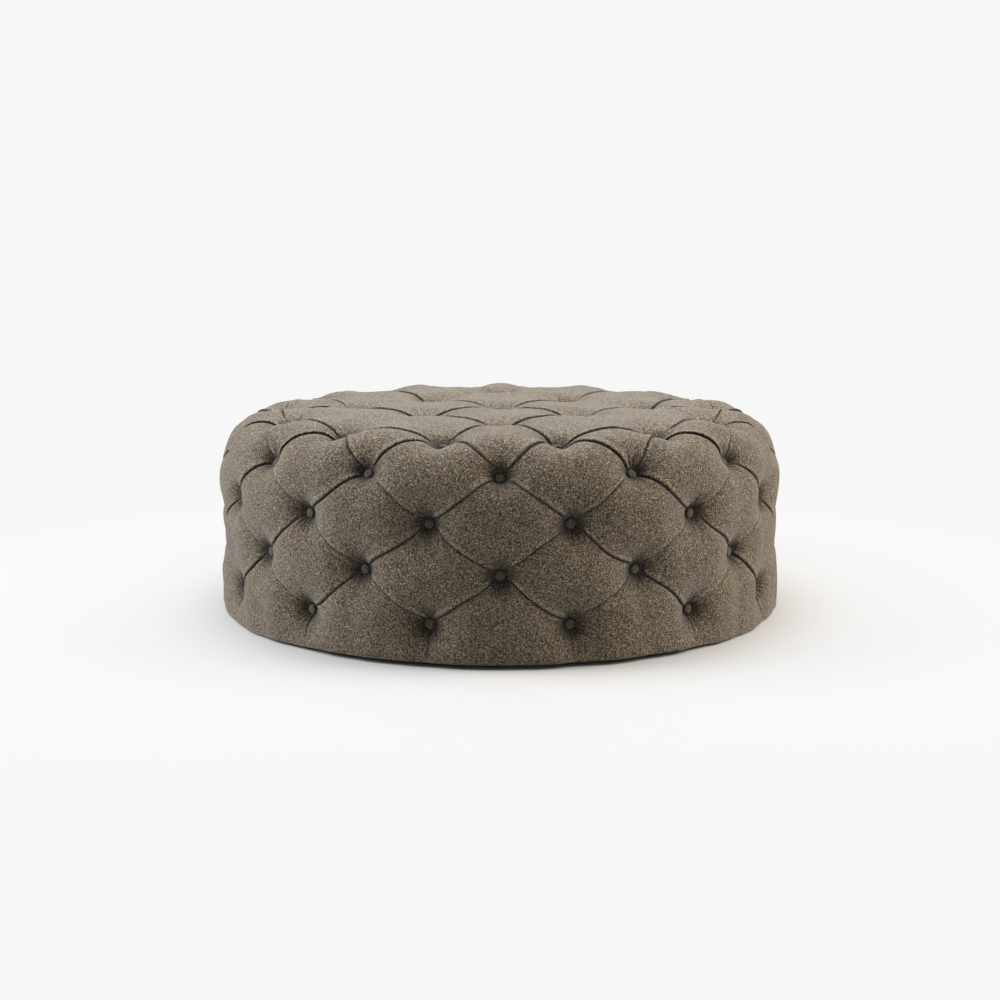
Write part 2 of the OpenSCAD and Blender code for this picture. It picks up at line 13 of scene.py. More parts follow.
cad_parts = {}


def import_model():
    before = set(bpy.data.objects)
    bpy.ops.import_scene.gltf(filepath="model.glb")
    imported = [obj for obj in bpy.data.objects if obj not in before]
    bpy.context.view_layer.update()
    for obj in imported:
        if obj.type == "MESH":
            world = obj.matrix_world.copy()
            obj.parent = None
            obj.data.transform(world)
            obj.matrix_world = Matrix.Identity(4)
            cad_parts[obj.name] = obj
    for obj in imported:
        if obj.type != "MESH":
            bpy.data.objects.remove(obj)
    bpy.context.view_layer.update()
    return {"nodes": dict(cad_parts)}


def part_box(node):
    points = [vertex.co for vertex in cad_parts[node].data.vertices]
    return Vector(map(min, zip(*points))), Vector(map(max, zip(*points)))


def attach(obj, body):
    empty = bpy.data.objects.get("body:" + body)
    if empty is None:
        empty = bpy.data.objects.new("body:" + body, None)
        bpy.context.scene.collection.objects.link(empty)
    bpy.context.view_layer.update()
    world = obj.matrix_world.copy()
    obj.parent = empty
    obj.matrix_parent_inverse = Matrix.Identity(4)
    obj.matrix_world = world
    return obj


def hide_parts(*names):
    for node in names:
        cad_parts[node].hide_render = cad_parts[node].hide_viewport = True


LOG = logging.getLogger("pouf")
BODY = "root"
TINY = 1e-9
SMALL = 1e-6

Colour = tuple[float, float, float]
Waves = tuple[tuple[float, float, float, float], ...]


class Fold(Enum):
    """Which side of a crease a puff has: the one that folds over, or the one that goes under."""

    OVER = "over"
    UNDER = "under"


def smooth_least(a: np.ndarray, b: np.ndarray, width: float) -> np.ndarray:
    """The lesser of two heights, rounded over a width where they cross."""
    share = np.clip(0.5 + 0.5 * (b - a) / width, 0.0, 1.0)
    return b + (a - b) * share - width * share * (1 - share)


def eased(share: np.ndarray) -> np.ndarray:
    """A share kept between zero and one, with a soft start and end."""
    share = np.clip(share, 0.0, 1.0)
    return share**2 * (3 - 2 * share)


def bell(distance: np.ndarray, width: float, power: float = 2) -> np.ndarray:
    """A share that falls from one at no distance, and the more squarely the higher the power."""
    return np.exp(-((distance / width) ** power))


def stronger(a: np.ndarray, b: np.ndarray) -> np.ndarray:
    """Whichever of two values lies further from zero."""
    return np.where(np.abs(b) > np.abs(a), b, a)


def mixed(a: np.ndarray, b: np.ndarray, share: np.ndarray) -> np.ndarray:
    """Points between two points or lists of points, one for each share."""
    return a + (b - a) * share[:, None]


def between(ends: tuple[float, float], share: float) -> float:
    """A value at a share of the way from one end to the other."""
    return ends[0] + (ends[1] - ends[0]) * share


def lengths(rows: np.ndarray) -> np.ndarray:
    """Length of each row, never quite zero, so that it can be divided by."""
    return np.maximum(np.linalg.norm(rows, axis=1), TINY)


def unit(rows: np.ndarray) -> np.ndarray:
    """Rows brought to a length of one."""
    return rows / lengths(rows)[:, None]


def reach_of(places: np.ndarray) -> np.ndarray:
    """Distance of flat places from the middle of the top."""
    return np.hypot(places[:, 0], places[:, 1])


def waves(places: np.ndarray, terms: Waves) -> np.ndarray:
    """A slow pattern on the flat cloth.

    Args:
        places: flat places, one a row.
        terms: for each sine its height, its turn along x and along y in radians a metre, and its start.

    Returns:
        The sum of the sines at each place.
    """
    x, y = places[:, 0], places[:, 1]
    return sum(height * np.sin(turn_x * x + turn_y * y + start) for height, turn_x, turn_y, start in terms)


def started(t: np.ndarray, grading: float) -> np.ndarray:
    """Draws evenly spaced shares in towards their start."""
    return np.expm1(grading * t) / math.expm1(grading)


def graded(t: np.ndarray, grading: float) -> np.ndarray:
    """Draws evenly spaced shares in towards both ends, where the creases need the detail."""
    drawn = started(1 - np.abs(1 - 2 * t), grading) / 2
    return np.where(t <= 0.5, drawn, 1 - drawn)


def grey(value: float) -> Colour:
    """A colour with three equal parts."""
    return (value, value, value)


@dataclass(frozen=True)
class Envelope:
    """The smooth surface that the crowns of the puffs touch.

    The cloth lies flat as a disc. A place on it has a direction and a reach, which is its distance from
    the middle of the top, measured along the surface.
    """

    radius: float
    hem_z: float
    top_z: float
    shoulder_w: float = 0.142
    shoulder_h: float = 0.128
    shoulder_power: float = 2.25
    run_share: float = 1.04

    @property
    def flat_reach(self) -> float:
        """Reach of the edge of the flat top."""
        return self.radius - self.shoulder_w

    @property
    def shoulder_run(self) -> float:
        """Length of the shoulder along the cloth."""
        return math.pi / 4 * (self.shoulder_w + self.shoulder_h) * self.run_share

    @property
    def side_reach(self) -> float:
        """Reach of the foot of the shoulder."""
        return self.flat_reach + self.shoulder_run

    @property
    def hem_reach(self) -> float:
        """Reach of the hem."""
        return self.side_reach + self.top_z - self.shoulder_h - self.hem_z

    def profile(self, reach: np.ndarray) -> tuple[np.ndarray, np.ndarray, np.ndarray, np.ndarray]:
        """The surface at a list of reaches.

        Args:
            reach: distances along the surface from the middle of the top.

        Returns:
            Radius and height of the surface, and the radial and upward part of its outward normal.
        """
        angle = np.clip((reach - self.flat_reach) / self.shoulder_run, 0.0, 1.0) * math.pi / 2
        sine, cosine = np.sin(angle), np.cos(angle)
        power = self.shoulder_power
        arm = ((sine / self.shoulder_w) ** power + (cosine / self.shoulder_h) ** power) ** (-1 / power)
        out = (sine / self.shoulder_w) ** (power - 1) / self.shoulder_w
        up = (cosine / self.shoulder_h) ** (power - 1) / self.shoulder_h
        length = np.hypot(out, up)
        shoulder_z = self.top_z - self.shoulder_h
        side_z = shoulder_z - (reach - self.side_reach)
        radius = np.where(reach < self.flat_reach, reach, self.flat_reach + arm * sine)
        height = np.where(reach > self.side_reach, side_z, shoulder_z + arm * cosine)
        return radius, height, out / length, up / length

    def lay(self, places: np.ndarray, depths: np.ndarray | float = 0.0) -> tuple[np.ndarray, np.ndarray]:
        """Lays flat places of cloth over the envelope.

        Args:
            places: flat places, one a row.
            depths: how far each lies below the surface.

        Returns:
            Points in space and the outward normals of the envelope there.
        """
        way = unit(places)
        radius, height, out, up = self.profile(reach_of(places))
        points = np.column_stack((way * (radius - depths * out)[:, None], height - depths * up))
        return points, np.column_stack((way * out[:, None], up))


@dataclass(frozen=True)
class Crease:
    """One sewn-in side of a puff, measured at each point of the puff's grid."""

    distance: np.ndarray
    along: np.ndarray
    towards: np.ndarray
    start: np.ndarray
    end: np.ndarray
    fold: Fold
    to_hem: bool = False

    def clear_of(self, other: "Crease") -> np.ndarray:
        """A share that fades from one, where this crease is the nearer, to zero on another crease."""
        return eased(2 * other.distance / (self.distance + other.distance + TINY))


@dataclass(frozen=True)
class Puffing:
    """How the filling swells between buttons and creases.

    A button draws the cloth down by the tuft's depth, into a steep throat in a wide hollow. A pleat is a
    valley beside a crease, wider on the puff that folds over. The shoulder and the back of the top are
    filled out a little, and each rim button pulls a notch into the shoulder in front of it.
    """

    tuft_depth: float = 0.035
    throat_share: float = 0.60
    throat: float = 0.0190
    hollow: float = 0.050
    hollow_power: float = 2.6
    rim_throat: float = 1.4
    pleat_depth: float = 0.0072
    over_width: float = 0.020
    under_width: float = 0.011
    pleat_reach: float = 0.064
    hem_pleat_share: float = 0.1
    shoulder_fill: float = 0.004
    shoulder_spread: float = 0.090
    shoulder_ease: float = 0.85
    back_fill: float = 0.0055
    back_start: float = 0.05
    back_run: float = 0.30
    back_width: float = 0.33
    back_fade: float = 0.12
    notch_depth: float = 0.010
    notch_width: float = 0.019
    notch_start: float = 0.020
    notch_reach: float = 0.085
    notch_fade: float = 0.045

    def dimple(self, distance: np.ndarray) -> np.ndarray:
        """Share of the tuft's depth at a distance from a button: a steep throat in a wide hollow."""
        throat, hollow = bell(distance, self.throat), bell(distance, self.hollow, self.hollow_power)
        return self.throat_share * throat + (1 - self.throat_share) * hollow

    def near_shoulder(self, reach: np.ndarray, middle: float) -> np.ndarray:
        """Share that is one in the middle of the shoulder and fades above and below it."""
        return bell(reach - middle, self.shoulder_spread)

    def eased_pleats(self, reach: np.ndarray, middle: float) -> np.ndarray:
        """Share of the pleats' depth: little on the top and the shoulder, and more down the side."""
        return 1 - self.shoulder_ease * self.near_shoulder(np.maximum(reach, middle), middle)

    def filled_at_back(self, flat: np.ndarray, limit: float) -> np.ndarray:
        """Height that the fuller back of the top adds.

        Args:
            flat: flat places, one a row.
            limit: reach beyond which nothing is added.

        Returns:
            Height for each place.
        """
        behind = eased((flat[:, 1] - self.back_start) / self.back_run)
        inside = eased((limit - reach_of(flat)) / self.back_fade)
        return self.back_fill * behind * bell(flat[:, 0], self.back_width, 4) * inside

    def notched(self, outward: np.ndarray, sideways: np.ndarray) -> np.ndarray:
        """Depth of the channel that a rim button pulls into the shoulder in front of it."""
        along = eased(outward / self.notch_start) * eased((self.notch_reach - outward) / self.notch_fade)
        return self.notch_depth * along * bell(sideways, self.notch_width)

    def valley(self, crease: Crease) -> np.ndarray:
        """Share of the pleat's depth beside a crease, fuller on the puff that folds over.

        Args:
            crease: the crease, as one of its two puffs has it.

        Returns:
            A share for each point of the puff, which is zero beyond the pleat's reach.
        """
        width = self.over_width if crease.fold is Fold.OVER else self.under_width
        least = math.exp(-self.pleat_reach / width)
        share = np.clip(np.exp(-crease.distance / width) - least, 0.0, 1.0) / (1 - least)
        if crease.to_hem:
            share = share * (1 - (1 - self.hem_pleat_share) * np.clip(crease.along, 0.0, 1.0))
        return share


@dataclass(frozen=True)
class Puff:
    """A padded puff between three or four buttons, given by their flat places in order."""

    corners: tuple[np.ndarray, ...]
    segments: tuple[int, int] = (34, 34)
    grading: float = 3.2

    @property
    def four(self) -> tuple[np.ndarray, ...]:
        """The puff's four corners, the last two alike where it has three sides."""
        return tuple(self.corners[index] for index in (0, 1, 2, -1))

    @property
    def middle(self) -> np.ndarray:
        """Flat place of the puff's middle."""
        return sum(self.corners) / len(self.corners)

    def place(self, u: np.ndarray, v: np.ndarray) -> np.ndarray:
        """Flat places for shares of the puff's two directions."""
        a, b, c, d = self.four
        return mixed(mixed(a, b, u), mixed(d, c, u), v)

    def spaced(self, shares: np.ndarray) -> tuple[np.ndarray, np.ndarray]:
        """Draws an even grid in towards the creases on all its sides."""
        return graded(shares[:, 0], self.grading), graded(shares[:, 1], self.grading)

    def sides(self) -> list[tuple[str, np.ndarray, np.ndarray]]:
        """The puff's three or four sides.

        Returns:
            Name of each side in the grid, and the buttons that it runs between.
        """
        a, b, c, d = self.four
        sides = [("v0", a, b), ("u1", b, c), ("v1", d, c), ("u0", a, d)]
        return [side for side in sides if side[1] is not side[2]]

    def fold_of(self, start: np.ndarray, end: np.ndarray) -> Fold:
        """Whether this puff folds over its neighbour at a side.

        The puff nearer to the middle of the top folds over the one below it. At a crease that runs
        straight outwards, the one further back folds over the one in front.

        Args:
            start: flat place of one end of the side.
            end: flat place of its other end.

        Returns:
            The side of the crease that this puff has.
        """
        middle, run = (start + end) / 2, end - start
        across = np.array([-run[1], run[0]])
        outward = float(across @ middle)
        if abs(outward) < SMALL:
            outward = -across[1] if abs(across[1]) > SMALL else across[0]
        across = across * math.copysign(1.0, outward)
        return Fold.UNDER if float((self.middle - middle) @ across) > 0 else Fold.OVER

    def creases(self, u: np.ndarray, v: np.ndarray, along_u: np.ndarray,
                along_v: np.ndarray) -> list[Crease]:
        """The puff's creases, measured at each point of its grid.

        Args:
            u: share of the first direction at each point.
            v: share of the second direction at each point.
            along_u: how the point moves in space with u.
            along_v: how the point moves in space with v.

        Returns:
            One Crease for each side.
        """
        area = np.linalg.norm(np.cross(along_u, along_v), axis=1)
        size_u, size_v = lengths(along_u), lengths(along_v)
        way_u, way_v = unit(along_u), unit(along_v)
        dot = np.sum(way_u * way_v, axis=1)[:, None]
        across_u, across_v = way_u - dot * way_v, way_v - dot * way_u
        across_u /= np.maximum(lengths(across_u), SMALL)[:, None]
        across_v /= np.maximum(lengths(across_v), SMALL)[:, None]
        measured = {
            "u0": (u * area / size_v, v, -across_u), "u1": ((1 - u) * area / size_v, v, across_u),
            "v0": (v * area / size_u, u, -across_v), "v1": ((1 - v) * area / size_u, u, across_v),
        }
        return [Crease(*measured[side], start, end, self.fold_of(start, end))
                for side, start, end in self.sides()]


@dataclass(frozen=True)
class HemPanel(Puff):
    """The cloth between two straight pleats, from three buttons down to the hem."""

    segments: tuple[int, int] = (68, 20)
    hem: tuple[np.ndarray, ...] = ()

    @property
    def middle(self) -> np.ndarray:
        """Flat place of the panel's middle."""
        return (self.corners[0] + self.corners[2] + self.hem[0] + self.hem[1]) / 4

    def upper(self, u: np.ndarray) -> np.ndarray:
        """Flat places along the panel's upper side, which bends at its middle button."""
        left, middle, right = self.corners
        return np.where((u <= 0.5)[:, None], mixed(left, middle, 2 * u), mixed(middle, right, 2 * u - 1))

    def place(self, u: np.ndarray, v: np.ndarray) -> np.ndarray:
        """Flat places for shares of the panel's two directions, with the hem on its ring."""
        low = np.linalg.norm(self.hem[0]) * unit(mixed(*self.hem, u))
        return mixed(self.upper(u), low, v)

    def spaced(self, shares: np.ndarray) -> tuple[np.ndarray, np.ndarray]:
        """Draws an even grid in towards the panel's pleats, its middle button and its upper side."""
        first, second = (graded(2 * shares[:, 0] - half, self.grading) for half in (0, 1))
        drawn = np.where(shares[:, 0] <= 0.5, first, 1 + second) / 2
        return drawn, started(shares[:, 1], self.grading)

    def creases(self, u: np.ndarray, v: np.ndarray, along_u: np.ndarray,
                along_v: np.ndarray) -> list[Crease]:
        """The panel's two short creases at the top and its two straight pleats.

        Args:
            u: share of the first direction at each point.
            v: share of the second direction at each point.
            along_u: how the point moves in space with u.
            along_v: how the point moves in space with v.

        Returns:
            One Crease for each of the four. Half the panel lies out of reach of each short one.
        """
        left, middle, right = self.corners
        plain = Puff((left, right, self.hem[1], self.hem[0]))
        v0, u1, _, u0 = plain.creases(u, v, along_u, along_v)
        first, far = u <= 0.5, np.ones_like(u)
        return [
            Crease(np.where(first, v0.distance, far), 2 * u, v0.towards, left, middle, Fold.UNDER),
            Crease(np.where(first, far, v0.distance), 2 * u - 1, v0.towards, middle, right, Fold.UNDER),
            Crease(u1.distance, v, u1.towards, right, self.hem[1], u1.fold, to_hem=True),
            Crease(u0.distance, v, u0.towards, left, self.hem[0], u0.fold, to_hem=True),
        ]


@dataclass(frozen=True)
class Tufting:
    """Where the buttons lie on the flat cloth, and the puffs between them."""

    envelope: Envelope
    puffing: Puffing = Puffing()
    columns: int = 14
    row_first: float = 0.058
    shoulder_row_rise: float = 0.067
    rim_row_out: float = 0.0305
    grid_pitch: float = 0.143
    high_row_lift: float = 0.008
    shoulder_middle_share: float = 0.35

    @property
    def base_row(self) -> float:
        """Reach of the lowest row of buttons."""
        return self.envelope.hem_reach - self.row_first

    @property
    def shoulder_row(self) -> float:
        """Reach of the highest row of the side."""
        return self.envelope.side_reach - self.shoulder_row_rise

    @property
    def lower_row(self) -> float:
        """Reach of the second row from below."""
        return self.base_row + (self.shoulder_row - self.base_row) / 3

    @property
    def upper_row(self) -> float:
        """Reach of the third row from below."""
        return self.base_row + (self.shoulder_row - self.base_row) * 2 / 3

    @property
    def high_row(self) -> float:
        """Reach at which the cloth and the buttons of the shoulder row are seen, drawn up a little."""
        return self.shoulder_row - self.high_row_lift

    @property
    def rim_row(self) -> float:
        """Reach of the ring of buttons round the top."""
        return self.envelope.flat_reach + self.rim_row_out

    @property
    def shoulder_middle(self) -> float:
        """Reach of the middle of the rounded shoulder, nearer to the rim than to the highest side row."""
        return self.rim_row + (self.shoulder_row - self.rim_row) * self.shoulder_middle_share

    def ring(self, steps: float, reach: float) -> np.ndarray:
        """Flat place at a number of columns round from the front."""
        angle = 2 * math.pi * steps / self.columns
        return reach * np.array([math.sin(angle), -math.cos(angle)])

    def grid(self, x: float, y: float) -> np.ndarray:
        """Flat place on the square grid of the top."""
        return self.grid_pitch * np.array([x, y], float)

    def row(self, reach: float, shift: float) -> list[np.ndarray]:
        """Flat places of a ring of buttons."""
        return [self.ring(k + shift, reach) for k in range(self.columns)]

    def button_rows(self) -> dict[str, list[np.ndarray]]:
        """The buttons of every row.

        Returns:
            For each node of the frame that holds buttons, their flat places.
        """
        spots = [(0, 0), (1, 1), (1, -1), (-1, 1), (-1, -1), (0, 2), (0, -2), (2, 0), (-2, 0)]
        return {
            "top_buttons": [self.grid(x, y) for x, y in spots],
            "rim_buttons": self.row(self.rim_row, 0.5),
            "shoulder_buttons": self.row(self.high_row, 0.0),
            "upper_buttons": self.row(self.upper_row, 0.5),
            "lower_buttons": self.row(self.lower_row, 0.0),
            "base_buttons": self.row(self.base_row, 0.5),
        }

    def top_puffs(self) -> list[Puff]:
        """The puffs of the top cover.

        Returns:
            Four diamonds in the middle, and round them the puffs that run out to the rim.
        """
        g, e, rim = self.grid, self.ring, self.rim_row
        puffs = [Puff((g(0, 0), g(x - y, y + x), g(2 * x, 2 * y), g(x + y, y - x)))
                 for x, y in ((0, -1), (1, 0), (0, 1), (-1, 0))]
        for side in (1, -1):
            for near, far, step in (
                (g(0, -2), g(side, -1), 0.5), (g(side, -1), g(2 * side, 0), 1.5),
                (g(2 * side, 0), g(side, 1), 4.5), (g(side, 1), g(0, 2), 5.5),
            ):
                puffs.append(Puff((near, far, e(side * (step + 1), rim), e(side * step, rim))))
            for step in (2.5, 3.5):
                puffs.append(Puff((e(side * (step + 1), rim), e(side * step, rim), g(2 * side, 0))))
        return puffs

    def side_puffs(self) -> list[Puff]:
        """The puffs of the side cover.

        Returns:
            Column by column the puffs from the rim down to the hem, and at the front and the back the
            two that reach over the rim into the top.
        """
        e, half, rim, high = self.ring, self.columns // 2, self.rim_row, self.high_row
        upper, lower, base, hem = self.upper_row, self.lower_row, self.base_row, self.envelope.hem_reach
        puffs = []
        for k in range(self.columns):
            puffs.append(Puff((e(k + 0.5, rim), e(k + 1, high), e(k + 0.5, upper), e(k, high))))
            puffs.append(Puff((e(k, high), e(k + 0.5, upper), e(k, lower), e(k - 0.5, upper))))
            puffs.append(Puff((e(k + 0.5, upper), e(k + 1, lower), e(k + 0.5, base), e(k, lower))))
            if k % half:
                puffs.append(Puff((e(k - 0.5, rim), e(k + 0.5, rim), e(k, high))))
            corners = (e(k - 0.5, base), e(k, lower), e(k + 0.5, base))
            puffs.append(HemPanel(corners, hem=(e(k - 0.5, hem), e(k + 0.5, hem))))
        puffs.append(Puff((self.grid(0, -2), e(0.5, rim), e(0, high), e(-0.5, rim))))
        puffs.append(Puff((self.grid(0, 2), e(half + 0.5, rim), e(half, high), e(half - 0.5, rim))))
        return puffs


@dataclass(frozen=True)
class ButtonShape:
    """A covered button: tapered back, rim and domed front, above the cloth that it draws down.

    The taper is a share of the radius and of the back's height. The front starts below its widest line,
    where it tucks in under the rim.
    """

    radius: float = 0.0084
    back_flat: float = 0.002
    back: float = 0.0036
    taper_radius: float = 0.9
    taper_height: float = 0.86
    rim: float = 0.0012
    tuck: float = 0.035
    tuck_height: float = 0.45
    dome: float = 0.0030
    dome_power: float = 0.72
    dome_start: float = -50.0
    dome_run: float = 140.0
    dome_steps: int = 7
    lift: float = 0.0016
    base_lift: float = 0.0024
    spokes: int = 28

    def lift_of(self, node: str) -> float:
        """Height of a row's button backs above the cloth's lowest point."""
        return self.base_lift if node == "base_buttons" else self.lift

    def front(self, angle: float) -> tuple[float, float]:
        """Radius and height of the front at an angle above its widest line, below which it tucks in.

        Args:
            angle: the angle in degrees, below zero under the widest line.

        Returns:
            Radius and height.
        """
        sine, widest = math.sin(math.radians(angle)), self.back + self.rim
        if angle < 0:
            return self.radius * (1 - self.tuck * (1 - sine)), widest + self.dome * self.tuck_height * sine
        return self.radius * math.cos(math.radians(angle)) ** self.dome_power, widest + self.dome * sine

    def build(self, mesh: bmesh.types.BMesh, place: Matrix, turn: float) -> None:
        """Spins one covered button into a mesh.

        Args:
            mesh: the mesh that takes the button.
            place: where its back goes, with Z along its axis.
            turn: how far the button is turned about its axis.
        """
        profile = [(0.0, 0.0), (self.back_flat, 0.0)]
        profile.append((self.radius * self.taper_radius, self.back * self.taper_height))
        profile += [self.front(self.dome_start + self.dome_run * step / self.dome_steps)
                    for step in range(self.dome_steps)]
        profile.append((0.0, self.back + self.rim + self.dome))
        line = [mesh.verts.new((r, 0.0, z)) for r, z in profile]
        edges = [mesh.edges.new(pair) for pair in zip(line, line[1:])]
        bmesh.ops.spin(mesh, geom=line + edges, cent=(0, 0, 0), axis=(0, 0, 1), angle=2 * math.pi,
                       steps=self.spokes, use_merge=True)
        bmesh.ops.remove_doubles(mesh, verts=[v for v in mesh.verts if not v.tag], dist=SMALL)
        fresh = [v for v in mesh.verts if not v.tag]
        bmesh.ops.transform(mesh, matrix=place @ Matrix.Rotation(turn, 4, "Z"), verts=fresh)
        for v in fresh:
            v.tag = True


@dataclass(frozen=True)
class Handwork:
    """What hands leave in tufted cloth: folded creases, seats under buttons, gathers and small swells.

    At a crease the cloth that folds over steps down, with a ridge before the step, and each side has a
    painted shade in the fold and a painted highlight on the lip beside it. A button sits in a seat with a
    sloping wall, with painted shade under it and in its throat, and the cloth gathers round it. The
    creases waver, and sag outwards between the buttons. A pair of values gives a weakly folded crease
    and a strongly folded one.
    """

    button: ButtonShape = ButtonShape()
    strengths: Waves = ((1.0, 97.0, 61.0, 0.7),)
    fold_share: tuple[float, float] = (0.55, 1.0)
    fold_rise: tuple[float, float] = (1.7, 2.7)
    fold_late: tuple[float, float] = (0.75, 0.40)
    hem_fold_share: tuple[float, float] = (0.12, 0.37)
    hem_fold_rise: float = 4.0
    hem_fold_fade: float = 1.3
    fold_depth: float = 0.0090
    fold_width: float = 0.0021
    fold_power: float = 1.2
    step_width: float = 0.0008
    ridge_height: float = 0.0032
    ridge_out: float = 0.0034
    ridge_over: float = 0.0032
    ridge_reach: float = 0.004
    # Painted shade in the fold on each side of a crease, and the painted highlight on the lip beside it:
    # strength, place and width.
    shade_over: float = 0.0016
    shade_under: float = 0.0020
    lip_highlight_over: float = 0.85
    lip_highlight_under: float = 0.35
    lip_highlight_out: float = 0.0050
    lip_highlight_width: float = 0.0022
    seat_gap: float = 0.0004
    # Painted shade under a button and in its throat: strength and width of each.
    seat_dark: float = 0.75
    seat_shade: float = 0.0125
    throat_dark: float = 0.52
    throat_shade: float = 0.027
    wall_slope: float = 3.5
    wall_round: float = 0.0015
    gather_near: float = 0.010
    gather_start: float = 0.006
    gather_far: float = 0.044
    gather_fade: float = 0.026
    swell: float = 0.0012
    swells: Waves = ((1.0, 23.0, 31.0, 0.0), (0.7, 47.0, -29.0, 1.3), (0.5, 59.0, 71.0, 4.0))
    waver: float = 0.0016
    waver_x: Waves = ((1.0, 21.0, 33.0, 0.4), (0.5, -37.0, 59.0, 1.9))
    waver_y: Waves = ((1.0, 29.0, -23.0, 2.2), (0.5, 53.0, 43.0, 0.8))
    sag: float = 0.006
    sag_uneven: float = 0.8
    sag_x: Waves = ((1.0, 19.0, 0.0, 0.7),)
    sag_y: Waves = ((1.0, 0.0, 17.0, 3.0),)

    def wavered(self, places: np.ndarray, clear: np.ndarray, bow: np.ndarray) -> np.ndarray:
        """Moves flat places a little, so that the creases bow outwards and aren't ruled lines.

        Args:
            places: flat places.
            clear: how free each one is to move, from zero to one.
            bow: how far along to the middle between buttons each one is, from zero to one.

        Returns:
            The moved places.
        """
        shift = np.column_stack((waves(places, self.waver_x), waves(places, self.waver_y)))
        uneven = self.sag_uneven * waves(places, self.sag_x) * waves(places, self.sag_y)
        sag = self.sag * eased(bow) * (1 + uneven)
        return places + clear[:, None] * (self.waver * shift + sag[:, None] * unit(places))

    def swelled(self, places: np.ndarray) -> np.ndarray:
        """Small slow rises and falls of the filling."""
        return self.swell * waves(places, self.swells)

    def strength(self, crease: Crease) -> float:
        """How strongly a crease is folded, from zero to one, alike for the puffs on both its sides."""
        middle = (crease.start + crease.end) / 2
        return 0.5 + 0.5 * float(waves(middle[None, :], self.strengths)[0])

    def presence(self, crease: Crease) -> np.ndarray:
        """How much of the fold there is along a crease: none at a button, and all of it between.

        Args:
            crease: the crease, as one of its two puffs has it.

        Returns:
            A share for each point of the puff.
        """
        along, strength = np.clip(crease.along, 0.0, 1.0), self.strength(crease)
        if crease.to_hem:
            shape = eased(self.hem_fold_rise * along) * eased(self.hem_fold_fade * (1 - along))
            return between(self.hem_fold_share, strength) * shape
        rise = between(self.fold_rise, strength) * np.sin(math.pi * along)
        return between(self.fold_share, strength) * eased(rise - between(self.fold_late, strength))

    def folded(self, crease: Crease) -> tuple[np.ndarray, np.ndarray, np.ndarray]:
        """The fold along one crease.

        The puff that goes under curves down into it. The other stands over it with a crisp ridge.

        Args:
            crease: the crease, as one of its two puffs has it.

        Returns:
            Height to add, distance to move towards the crease, and the painted shade of the fold, which is
            below zero for the painted highlight on the lip beside it.
        """
        x, amount = crease.distance, self.presence(crease)
        if crease.fold is Fold.UNDER:
            down = bell(x, self.fold_width, self.fold_power)
            # Painted shade in the fold, and a painted highlight on the lip beside it.
            shade = self.shaded(x, self.shade_under, self.lip_highlight_under)
            return -self.fold_depth * amount * down, np.zeros_like(x), amount * shade
        down = bell(x, self.step_width)
        out = x / self.ridge_out
        height = amount * (self.ridge_height * out * np.exp(1 - out) - self.fold_depth * down)
        over = self.ridge_over * amount * np.exp(-x / self.ridge_reach) * (1 - down)
        # Painted shade in the fold, and a painted highlight on the lip beside it.
        return height, over, amount * self.shaded(x, self.shade_over, self.lip_highlight_over)

    def shaded(self, distance: np.ndarray, width: float, lip: float) -> np.ndarray:
        """Painted shade beside a crease, below zero for the painted highlight on the lip."""
        return bell(distance, width, 4) - lip * bell(distance - self.lip_highlight_out, self.lip_highlight_width)

    def gathered(self, distance: np.ndarray) -> np.ndarray:
        """How strongly the cloth is gathered at a distance from a button, from zero to one."""
        begun = eased((distance - self.gather_near) / self.gather_start)
        return begun * eased((self.gather_far - distance) / self.gather_fade)

    def pinned(self, distance: np.ndarray) -> np.ndarray:
        """Painted shade under a button and in the throat round it."""
        seat, throat = bell(distance, self.seat_shade, 4), bell(distance, self.throat_shade, 3)
        return np.maximum(self.seat_dark * seat, self.throat_dark * throat)

    def seat(self, distance: np.ndarray) -> np.ndarray:
        """The room that a button needs in the cloth.

        Args:
            distance: distances from the button's axis.

        Returns:
            Highest that the cloth may lie there, above its lowest point.
        """
        b = self.button
        back = b.lift + b.back * (distance - b.back_flat) / (b.radius - b.back_flat)
        wall = b.lift + b.back + self.wall_slope * (distance - b.radius)
        return np.where(distance < b.radius, np.maximum(back, b.lift), wall) - self.seat_gap


